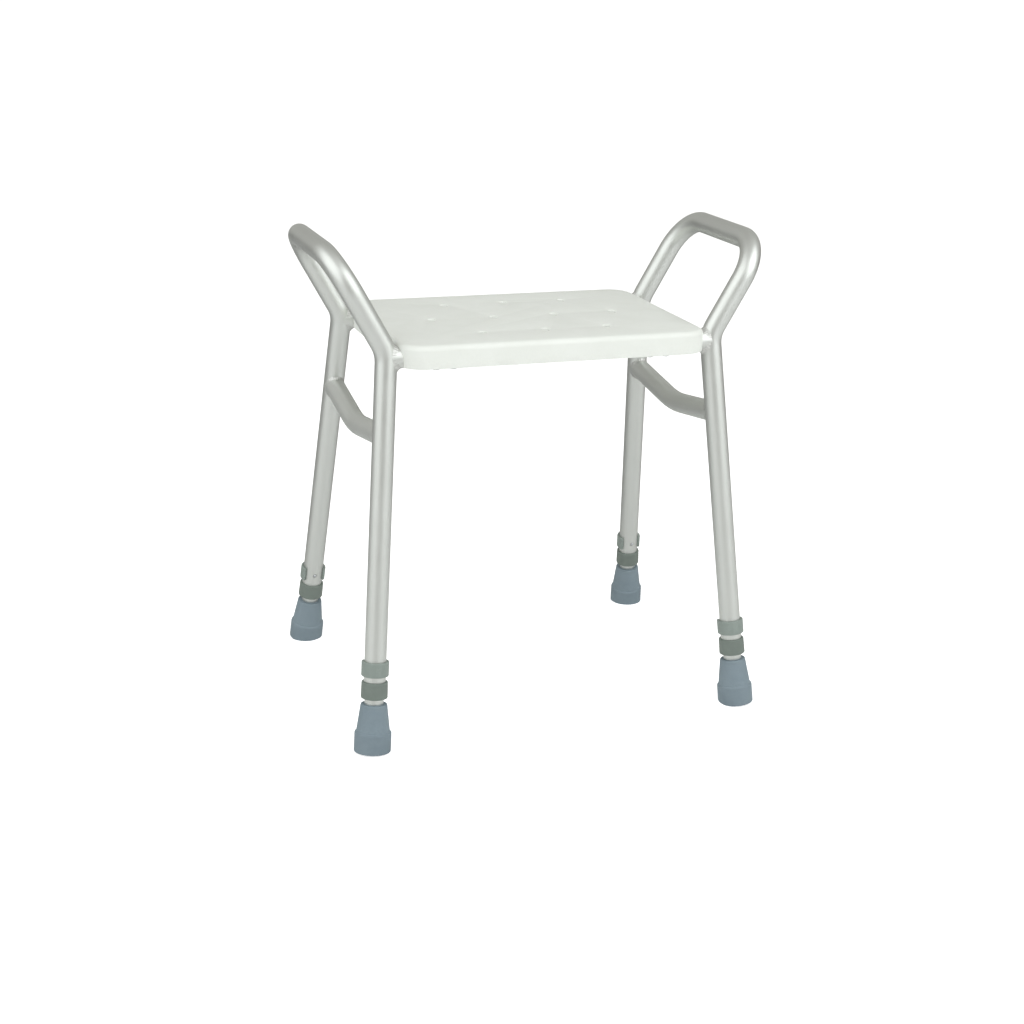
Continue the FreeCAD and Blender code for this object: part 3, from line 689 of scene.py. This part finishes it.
# %% Side frames
TUBE_RADIUS = 0.0127
TUBE_WALL = 0.0012
BEND_HEIGHT = 0.4541
BEND_FORMER, HANDLE_FORMER = 0.040, 0.048
FORMERS = (BEND_FORMER, HANDLE_FORMER, HANDLE_FORMER, BEND_FORMER)
HOLE_RADIUS = 0.0025
HOLE_MARGIN = 0.008
pin_height = (clip_low.z + clip_high.z) / 2


def handle_line(side):
    """The corners of a side frame's centreline."""
    low, high = measured(f"side_frame_{side}")
    reach = SIDES[side] * (max(abs(low.x), abs(high.x)) - TUBE_RADIUS)
    ends = [leg_place[f"{end}_{side}"] @ Vector((0, 0, tube_end)) for end in ENDS]
    bends = [on_leg(f"{end}_{side}", BEND_HEIGHT) for end in ENDS]
    tops = [Vector((reach, bend.y, high.z - TUBE_RADIUS)) for bend in bends]
    return [ends[0], bends[0], tops[0], tops[1], bends[1], ends[1]]


def extra_rings(bm, place, heights):
    """Cuts rings of edges across a leg, so that a drilled hole only disturbs a short piece of tube."""
    for height in heights:
        bmesh.ops.bisect_plane(bm, geom=bm.verts[:] + bm.edges[:] + bm.faces[:],
                               plane_co=place @ Vector((0, 0, height)), plane_no=place.col[2].xyz)


side_frames = {}
for side in SIDES:
    bm = bend_tube(handle_line(side), FORMERS, TUBE_RADIUS)
    corners = [f"{end}_{side}" for end in ENDS]
    for corner in corners:
        extra_rings(bm, leg_place[corner], (pin_height - HOLE_MARGIN, pin_height + HOLE_MARGIN))
    give_wall(bm, TUBE_WALL)
    bent = on_bench(bm, f"bent_frame_{side}")
    drill(bent, [along_leg(corner, pin_height) for corner in corners], HOLE_RADIUS, TUBE_RADIUS * 4)
    side_frames[side] = finish_piece(bent, "outer_tube", "frame_tube", "frame", f"side_frame_{side}")

# %% [markdown]
# ## Braces
# A brace ties the front leg to the rear one and dips a little in the middle. It is bent like the
# frames, but about a much larger former. Its ends are coped: cut hollow to sit on the leg, as a tube
# notcher would do. A solid rod in the leg's place does the cutting.

# %% Braces
BAR_RADIUS = 0.0125
BRACE_HEIGHT, BRACE_DIP = 0.3615, 0.3435
BRACE_FORMER = 0.150


def cope(piece, corner):
    """Cuts a tube's end to the shape of the leg that it meets."""
    rod_length = nodes["side_frame_left"].dimensions.z
    rod = bmesh.new()
    add_rod(rod, TUBE_RADIUS, rod_length, along_leg(corner, rod_length / 2))
    carve(piece, on_bench(rod, "coping_rod"))


for side in SIDES:
    front, rear = f"front_{side}", f"rear_{side}"
    dip = (on_leg(front, BRACE_DIP) + on_leg(rear, BRACE_DIP)) / 2
    brace_line = [on_leg(front, BRACE_HEIGHT), dip, on_leg(rear, BRACE_HEIGHT)]
    bm = bend_tube(brace_line, (BRACE_FORMER,), BAR_RADIUS)
    give_wall(bm, TUBE_WALL)
    brace = on_bench(bm, f"dipped_brace_{side}")
    for corner in (front, rear):
        cope(brace, corner)
    finish_piece(brace, "brace_tube", "frame_tube", "frame", f"brace_{side}")

# %% [markdown]
# ## Welds
# Each bar is welded all round where it meets a leg. The filler makes a soft hollow slope from bar to
# leg, with faint ripples where the torch moved on. A thin ring is spun first, and its points are then
# laid on that slope: one side of it on the bar, the other on the leg, the rest in a curve between them.

# %% Fillet welds
RIPPLES = 30
PROFILE_POINTS = 8
WELD_STEPS = 180
RIPPLE = 0.00016
SUNK_IN = 0.0002
HOLLOW = 0.45


def weld(bm, side, start, heading, width):
    """Lays a fillet around a bar that runs from start into the leg."""
    surface = BVHTree.FromObject(side_frames[side], bpy.context.evaluated_depsgraph_get())
    turn = heading.to_track_quat("Z", "Y").to_matrix()
    around = [math.tau * step / PROFILE_POINTS for step in range(PROFILE_POINTS)]
    outline = [(BAR_RADIUS + width * math.cos(angle), width * math.sin(angle)) for angle in around]
    ring = lathe(outline, closed=True, steps=WELD_STEPS)
    inset = RIPPLE * 4
    for vert in ring.verts:
        flat = Vector((vert.co.x, vert.co.y, 0))
        step = round(math.atan2(vert.co.z, flat.length - BAR_RADIUS) / math.tau * PROFILE_POINTS)
        step %= PROFILE_POINTS
        outward = turn @ flat.normalized()
        touch = surface.ray_cast(start + outward * (BAR_RADIUS - inset), heading)[0]
        touch += outward * inset
        on_bar = touch - heading * width - outward * SUNK_IN
        on_tube, upwards, _, _ = surface.find_nearest(touch + outward * width)
        on_tube -= upwards * SUNK_IN
        hollow = touch.lerp((on_bar + on_tube) / 2, HOLLOW)
        along = step / (PROFILE_POINTS - 2)
        if along > 1:
            vert.co = touch + (heading - outward) * SUNK_IN * 3
        else:
            slope = on_bar.lerp(hollow, along).lerp(hollow.lerp(on_tube, along), along)
            wave = math.cos(math.atan2(flat.y, flat.x) * RIPPLES) * along * (1 - along) * 4
            vert.co = slope + (outward - heading) * RIPPLE * wave
    bmesh.ops.recalc_face_normals(ring, faces=ring.faces)
    mesh = bpy.data.meshes.new("fillet")
    ring.to_mesh(mesh)
    ring.free()
    bm.from_mesh(mesh)
    bpy.data.meshes.remove(mesh)


# %% The welds of crossbars and braces
CROSSBAR_WELD, BRACE_WELD = 0.0050, 0.0032
RUN_UP = TUBE_RADIUS * 3
bars = {end: measured(f"crossbar_{end}") for end in ENDS}
bar_middle = {end: Vector((0, (low.y + high.y) / 2, (low.z + high.z) / 2))
              for end, (low, high) in bars.items()}
crossbar_welds, brace_welds = bmesh.new(), bmesh.new()
for end in ENDS:
    for side, way in SIDES.items():
        weld(crossbar_welds, side, bar_middle[end], Vector((way, 0, 0)), CROSSBAR_WELD)
for side in SIDES:
    front, rear = (on_leg(f"{end}_{side}", BRACE_HEIGHT) for end in ENDS)
    dip = (front + rear) / 2 - Vector((0, 0, BRACE_HEIGHT - BRACE_DIP))
    for near_end in (front, rear):
        heading = (near_end - dip).normalized()
        weld(brace_welds, side, near_end - heading * RUN_UP, heading, BRACE_WELD)
for bm, name, stands_for in ((crossbar_welds, "crossbar_fillets", "crossbar_welds"),
                             (brace_welds, "brace_fillets", "brace_welds")):
    finish_piece(on_bench(bm, name), "weld_metal", "weld", "frame", stands_for)

# %% [markdown]
# ## The seat
# The seat is moulded as an upside-down tray: a plate with a skirt, stiffened by thin ribs, with two
# channels that drop over the crossbars. A block gives the outside. Its upright edges take the large
# corner radius before the top edge is softened, so that the soft edge runs evenly around the corners.
# Then it is hollowed, ribbed and cut, in the order in which a mould maker would think of it.

# %% Tray
SEAT_CORNER, SEAT_EDGE = 0.0295, 0.0065
SKIRT_WALL, PLATE = 0.0035, 0.0045
CORNER_SEGMENTS = 18
SKIRT_RIM = 0.0008
seat_low, seat_high = measured("seat")


def slab(low, high):
    """A block between two corners."""
    bm = bmesh.new()
    size = Matrix.Diagonal((*(high - low), 1))
    bmesh.ops.create_cube(bm, size=1, matrix=Matrix.Translation((low + high) / 2) @ size)
    return bm


def upright(edge):
    """An edge that isn't level."""
    return abs(edge.verts[0].co.z - edge.verts[1].co.z) > MERGE


def level_at(height):
    """A test for the outline edges of a block at one height."""
    return lambda edge: is_corner(edge) and all(abs(vert.co.z - height) < MERGE for vert in edge.verts)


def inwards(distance):
    """The same step towards the middle in X and in Y."""
    return Vector((distance, distance, 0))


bm = slab(seat_low, seat_high)
soften(bm, SEAT_CORNER, upright, segments=CORNER_SEGMENTS)
soften(bm, SEAT_EDGE, level_at(seat_high.z), segments=8)
soften(bm, SKIRT_RIM, level_at(seat_low.z), segments=2)
seat = on_bench(bm, "moulded_seat")

plate_low = seat_high.z - PLATE
hollow_low = seat_low + inwards(SKIRT_WALL) - Vector((0, 0, PLATE))
hollow_high = Vector((seat_high.x, seat_high.y, plate_low)) - inwards(SKIRT_WALL)
bm = slab(hollow_low, hollow_high)
soften(bm, SEAT_CORNER - SKIRT_WALL, upright, segments=CORNER_SEGMENTS)
carve(seat, on_bench(bm, "hollow"))
print(f"tray with {len(seat.data.polygons)} faces")

# %% Ribs
RIB, RIB_DROP, RIB_ROW = 0.0026, 0.012, 0.036
RIBS_ACROSS = 8
DRAIN_PITCH, DRAIN_ROWS = 0.0773, 0.0755


def add_rib(low, high):
    """Joins one rib to the seat."""
    carve(seat, on_bench(slab(low, high), "rib"), "UNION")


rib_low, rib_high = plate_low - RIB_DROP, plate_low + PLATE / 2
half = seat_high - inwards(SKIRT_WALL / 2)
for row in (-RIB_ROW, RIB_ROW):
    add_rib(Vector((-half.x, row - RIB / 2, rib_low)), Vector((half.x, row + RIB / 2, rib_high)))
for number in range(RIBS_ACROSS):
    across = (number - (RIBS_ACROSS - 1) / 2) * DRAIN_PITCH / 2
    add_rib(Vector((across - RIB / 2, -half.y, rib_low)), Vector((across + RIB / 2, half.y, rib_high)))
print(f"ribbed tray with {len(seat.data.polygons)} faces")

# %% [markdown]
# ## Channels, screw holes and drains
# The channels are as wide as the crossbars and leave the bars showing along the front and back edge.
# The ten drains have a rounded rim, so they are cut with a lathed tool that flares out at the top:
# a sharp-edged hole would be unpleasant to sit on, and the rim catches a small line of light.

# %% Channels over the crossbars
SADDLE_GAP = 0.00015
OVERCUT = 0.002

for middle in bar_middle.values():
    radius = BAR_RADIUS + SADDLE_GAP
    length = seat_high.x * 2 + OVERCUT
    bm = bmesh.new()
    add_rod(bm, radius, length, Matrix.Translation(middle) @ ONTO_X)
    carve(seat, on_bench(bm, "channel"))
    reach = Vector((length / 2, radius, 0))
    mouth = slab(middle - reach - Vector((0, 0, BAR_RADIUS * 2)), middle + reach)
    carve(seat, on_bench(mouth, "mouth"))
    print(f"channel {radius * 2000:.1f} mm wide at y {middle.y:.4f}")

# %% Pilot holes for the screws
SCREW_OUTER, SCREW_INNER = 0.142, 0.1215
SCREW_RADIUS, SCREW_BITE = 0.0024, 0.0035

screw_places = [Vector((side * across, bar_middle[end].y, bars[end][0].z))
                for end in ENDS for across in (SCREW_OUTER, SCREW_INNER)
                for side in SIDES.values()]
pilots = bmesh.new()
for place in screw_places:
    top = plate_low + SCREW_BITE
    middle = Matrix.Translation((place.x, place.y, (top + place.z) / 2))
    add_rod(pilots, SCREW_RADIUS, top - place.z, middle, SMALL_ROUND)
carve(seat, on_bench(pilots, "pilots"))
print(f"{len(screw_places)} pilot holes")

# %% Drains
DRAIN_RADIUS, DRAIN_ROUND = 0.0048, 0.0012
DRAIN_SIDES, FLARE_STEPS = 40, 6

flare = []
for step in range(FLARE_STEPS + 1):
    angle = math.radians(90 * step / FLARE_STEPS)
    flare.append((DRAIN_RADIUS + DRAIN_ROUND * (1 - math.cos(angle)),
                  seat_high.z - DRAIN_ROUND * (1 - math.sin(angle))))
widest = DRAIN_RADIUS + DRAIN_ROUND
outline = [(0, rib_low), (DRAIN_RADIUS, rib_low), *flare, (widest, seat_high.z + OVERCUT),
           (0, seat_high.z + OVERCUT)]
drain = on_bench(lathe(outline, closed=False, steps=DRAIN_SIDES), "drain")
outer_rows = [(step * DRAIN_PITCH, row) for step in (-1, 0, 1) for row in (-DRAIN_ROWS, DRAIN_ROWS)]
middle_row = [(step * DRAIN_PITCH, 0) for step in (-1.5, -0.5, 0.5, 1.5)]


def repeat_mesh(mesh, places):
    """One bmesh with a copy of a mesh at every place."""
    bm = bmesh.new()
    for place in places:
        bm.from_mesh(mesh)
        newest = bm.verts[-len(mesh.vertices):]
        bmesh.ops.translate(bm, verts=newest, vec=place)
    return bm


drains = repeat_mesh(drain.data, [Vector((*spot, 0)) for spot in outer_rows + middle_row])
bpy.data.objects.remove(drain)
carve(seat, on_bench(drains, "drains"))
finish_piece(seat, "seat_plastic", "seat_plastic", "frame", "seat")

# %% [markdown]
# ## Seat screws
# Eight self-tapping screws come up through the crossbars into the plate. The head is a hexagon on a
# round flange. The thread is a small triangle that climbs as it turns, which is a spin with a rise in
# every step. One screw is made and then repeated, because all eight are the same.

# %% Head and shank
HEAD_HEX, HEAD_HIGH, HEAD_ROUND = 0.0046, 0.0041, 0.0004
FLANGE_RADIUS, FLANGE_HIGH = 0.0052, 0.0012
CORE_RADIUS, POINT = 0.0018, 0.002
SCREW_SIDES = 36

shank_high = plate_low + SCREW_BITE - bars["front"][0].z
outline = [(0, 0), (FLANGE_RADIUS, 0), (FLANGE_RADIUS, -FLANGE_HIGH / 3), (HEAD_HEX, -FLANGE_HIGH),
           (0, -FLANGE_HIGH)]
flange = on_bench(lathe(outline, closed=False, steps=SCREW_SIDES), "flange")
outline = [(0, -FLANGE_HIGH / 2), (CORE_RADIUS, -FLANGE_HIGH / 2), (CORE_RADIUS, shank_high - POINT),
           (0, shank_high)]
shank = on_bench(lathe(outline, closed=False, steps=SCREW_SIDES), "shank")
hexagon = bmesh.new()
head_middle = Matrix.Translation((0, 0, -(HEAD_HIGH + FLANGE_HIGH / 2) / 2))
add_rod(hexagon, HEAD_HEX, HEAD_HIGH - FLANGE_HIGH / 2, head_middle, sides=6)
soften(hexagon, HEAD_ROUND, is_corner, segments=2)
screw = carve(on_bench(hexagon, "screw"), flange, "UNION")
carve(screw, shank, "UNION")
print(f"screw {shank_high * 1000:.1f} mm long under the head")

# %% Thread
THREAD_PITCH, THREAD_TURNS, THREAD_STEPS = 0.0016, 7, 24
THREAD_ROOT = CORE_RADIUS * 0.9

thread = bmesh.new()
thread_low = shank_high - POINT - THREAD_TURNS * THREAD_PITCH
profile = [(THREAD_ROOT, -THREAD_PITCH / 3), (SCREW_RADIUS, 0), (THREAD_ROOT, THREAD_PITCH / 3)]
verts = [thread.verts.new((radius, 0, thread_low + rise)) for radius, rise in profile]
edges = [thread.edges.new(pair) for pair in zip(verts, verts[1:] + verts[:1])]
bmesh.ops.spin(thread, geom=verts + edges, cent=(0, 0, 0), axis=(0, 0, 1),
               dvec=(0, 0, THREAD_PITCH / THREAD_STEPS), angle=math.tau * THREAD_TURNS,
               steps=THREAD_TURNS * THREAD_STEPS, use_duplicate=False)
close_ends(thread)
carve(screw, on_bench(thread, "thread"), "UNION")

screws = on_bench(repeat_mesh(screw.data, screw_places), "hexagon_screws")
bpy.data.objects.remove(screw)
finish_piece(screws, "zinc_steel", "steel", "frame", "seat_screws")

# %% [markdown]
# ## Collars
# A bush of grey plastic is pressed on each outer tube's end. It is lathed as one outline: a lip at the
# bottom that guides the inner tube, a socket above it, and a slight taper outside. Outer rims get a
# generous round, inner ones only lose their sharpness.

# %% Collars
COLLAR_BORE, COLLAR_LIP = 0.0112, 0.0025
COLLAR_FOOT, COLLAR_NECK = 0.0157, 0.0153
COLLAR_ROUND, FINE_ROUND = 0.0016, 0.0004


def outside_of(radius):
    """A test for sharp edges farther from Z than a radius."""
    return lambda edge: is_corner(edge) and all(vert.co.xy.length > radius for vert in edge.verts)


def put_on_leg(bm, corner, distance=0.0):
    """Moves a bench piece from the origin to its height on a leg."""
    bmesh.ops.transform(bm, matrix=along_leg(corner, distance), verts=bm.verts)
    return bm


collar_tall = collar_high.z - collar_low.z
for corner in CORNERS:
    outline = [(COLLAR_BORE, 0), (COLLAR_FOOT, 0), (COLLAR_NECK, collar_tall),
               (TUBE_RADIUS, collar_tall), (TUBE_RADIUS, COLLAR_LIP), (COLLAR_BORE, COLLAR_LIP)]
    bm = lathe(outline, closed=True)
    soften(bm, COLLAR_ROUND, outside_of((COLLAR_NECK + TUBE_RADIUS) / 2), segments=5)
    soften(bm, FINE_ROUND, level_at(0), segments=2)
    put_on_leg(bm, corner, collar_low.z)
    finish_piece(on_bench(bm, f"turned_collar_{corner}"), "collar_plastic", "collar_plastic", "frame",
                 f"leg_collar_{corner}")

# %% [markdown]
# ## Clips and pins
# The clip is a springy C that snaps around the outer tube, with a steel pin in its closed side. A
# rectangle is spun only part of the way round, both ends are closed, and the outside is rounded well
# so that it can be pulled off with wet fingers. The pin is moulded into the clip, whose skin hides
# the pin's head behind a small button, and reaches through both walls of both tubes.

# %% The shape of a clip
CLIP_WRAP, CLIP_STEPS = math.radians(250), 60
CLIP_PLAY, CLIP_ROUND = 0.0001, 0.0018
BUTTON, BUTTON_RING, BUTTON_DEEP = 0.0024, 0.0006, 0.0002
BUTTON_SIDES = 40


def spring_clip():
    """The C around Z, open towards -X."""
    bm = bmesh.new()
    inside, outside = TUBE_RADIUS + CLIP_PLAY, clip_high.x
    half_height = (clip_high.z - clip_low.z) / 2
    section = [(inside, -half_height), (outside, -half_height),
               (outside, half_height), (inside, half_height)]
    verts = [bm.verts.new((radius, 0, height)) for radius, height in section]
    edges = [bm.edges.new(pair) for pair in zip(verts, verts[1:] + verts[:1])]
    bmesh.ops.rotate(bm, verts=verts, cent=(0, 0, 0), matrix=Matrix.Rotation(-CLIP_WRAP / 2, 3, "Z"))
    bmesh.ops.spin(bm, geom=verts + edges, cent=(0, 0, 0), axis=(0, 0, 1), dvec=(0, 0, 0),
                   angle=CLIP_WRAP, steps=CLIP_STEPS, use_duplicate=False)
    close_ends(bm)
    soften(bm, CLIP_ROUND, outside_of((inside + outside) / 2), segments=5)
    soften(bm, FINE_ROUND, is_corner, segments=2)
    return bm


def press_button(clip, corner):
    """A ring pressed into the clip's skin marks where the pin is."""
    ring = lathe([(BUTTON, 0), (BUTTON, BUTTON_DEEP * 4), (BUTTON + BUTTON_RING, BUTTON_DEEP * 4),
                  (BUTTON + BUTTON_RING, 0)], closed=True, steps=BUTTON_SIDES)
    lay_along_x(ring)
    bmesh.ops.translate(ring, verts=ring.verts, vec=(clip_high.x - BUTTON_DEEP * 1.5, 0, 0))
    carve(clip, on_bench(put_on_leg(ring, corner, pin_height), "button_ring"))


# %% Clips and pins
PIN_RADIUS, PIN_TAPER, PIN_ROUND = 0.00225, 0.0009, 0.0003

for corner in CORNERS:
    clip = on_bench(put_on_leg(spring_clip(), corner, pin_height), f"spring_clip_{corner}")
    drill(clip, [along_leg(corner, pin_height)], PIN_RADIUS, pin_high.x * 2)
    press_button(clip, corner)
    finish_piece(clip, "clip_plastic", "clip_plastic", f"clip_{corner}", f"leg_clip_{corner}")

    outline = [(0, pin_low.x), (PIN_RADIUS - PIN_TAPER, pin_low.x), (PIN_RADIUS, pin_low.x + PIN_TAPER),
               (PIN_RADIUS, pin_high.x), (0, pin_high.x)]
    bm = lathe(outline, closed=False, steps=SMALL_ROUND)
    soften(bm, PIN_ROUND, is_corner, segments=2)
    lay_along_x(bm)
    put_on_leg(bm, corner, pin_height)
    finish_piece(on_bench(bm, f"steel_pin_{corner}"), "zinc_steel", "steel", f"clip_{corner}",
                 f"clip_pin_{corner}")

# %% [markdown]
# ## Inner legs
# The inner tubes slide in the outer ones. A row of holes, 25 mm apart, takes the clip's pin at
# seven heights. They are straight tube from the same bender, drilled in one go.

# %% Inner legs
INNER_RADIUS = 0.0111
NOTCHES, NOTCH_PITCH = 7, 0.025
for corner in CORNERS:
    ends = [leg_place[corner] @ Vector((0, 0, height)) for height in (inner_low.z, inner_high.z)]
    bm = bend_tube(ends, (), INNER_RADIUS)
    give_wall(bm, TUBE_WALL)
    inner = on_bench(bm, f"drilled_leg_{corner}")
    notches = [along_leg(corner, pin_height + number * NOTCH_PITCH) for number in range(NOTCHES)]
    drill(inner, notches, HOLE_RADIUS, INNER_RADIUS * 4)
    finish_piece(inner, "inner_tube", "inner_tube", f"leg_{corner}", f"inner_leg_{corner}")

# %% [markdown]
# ## Rubber feet
# The foot is a thick ferrule: a wide base, a small ledge, and a cone up to the tube. It is lathed in
# line with the leg, but the floor is level, so after it is turned into place a plane at the floor
# presses its sole flat. Two ring grooves in the sole let water out from under the foot.

# %% Feet
FOOT_BASE, FOOT_STEP, FOOT_TOP = 0.0215, 0.0196, 0.0154
LEDGE_LOW, LEDGE_HIGH = 0.0222, 0.0240
SOLE, SUNK = 0.014, 0.001
FOOT_ROUND, LEDGE_ROUND = 0.0016, 0.0006
GROOVES = (0.0055, 0.0115)
GROOVE_WIDE, GROOVE_DEEP = 0.0018, 0.0015
FOOT_SIDES = 96


def near_an_end(edge):
    """True at the sole's rim and at the upper rim, not at the ledge."""
    height = edge.verts[0].co.z
    return height < LEDGE_LOW / 2 or height > foot_high.z - LEDGE_LOW / 2


for corner in CORNERS:
    outline = [(0, -SUNK), (FOOT_BASE, -SUNK), (FOOT_BASE, LEDGE_LOW), (FOOT_STEP, LEDGE_HIGH),
               (FOOT_TOP, foot_high.z), (INNER_RADIUS, foot_high.z), (INNER_RADIUS, SOLE), (0, SOLE)]
    bm = lathe(outline, closed=False, steps=FOOT_SIDES)
    outer = outside_of((FOOT_TOP + INNER_RADIUS) / 2)
    soften(bm, LEDGE_ROUND, level_at(LEDGE_LOW), segments=3)
    soften(bm, FOOT_ROUND, lambda edge: outer(edge) and near_an_end(edge), segments=5)
    put_on_leg(bm, corner)
    bmesh.ops.bisect_plane(bm, geom=bm.verts[:] + bm.edges[:] + bm.faces[:], plane_co=(0, 0, 0),
                           plane_no=(0, 0, -1), clear_outer=True)
    close_ends(bm)
    foot = on_bench(bm, f"ferrule_{corner}")
    for radius in GROOVES:
        ring = [(radius, -GROOVE_DEEP), (radius + GROOVE_WIDE, -GROOVE_DEEP),
                (radius + GROOVE_WIDE, GROOVE_DEEP), (radius, GROOVE_DEEP)]
        bm = lathe(ring, closed=True)
        bmesh.ops.translate(bm, verts=bm.verts, vec=leg_place[corner].translation)
        carve(foot, on_bench(bm, "groove"))
    finish_piece(foot, "foot_rubber", "foot_rubber", f"leg_{corner}", f"rubber_foot_{corner}")

# %% [markdown]
# ## What stays as it is
# The crossbars are plain tube, cut square on the leg, and the guide plugs and the washers in the feet
# are hidden. Their engineering shapes are already right, so they only get their materials.

# %% Materials for the kept nodes
KEPT = {"crossbar": "crossbar_tube", "guide_plug": "plug_plastic", "foot_washer": "zinc_steel"}
for name, node in nodes.items():
    for start, finish in KEPT.items():
        if name.startswith(start) and not name.endswith("welds"):
            for slot in node.material_slots:
                slot.material = FINISH[finish]
            print(name, "takes", finish)
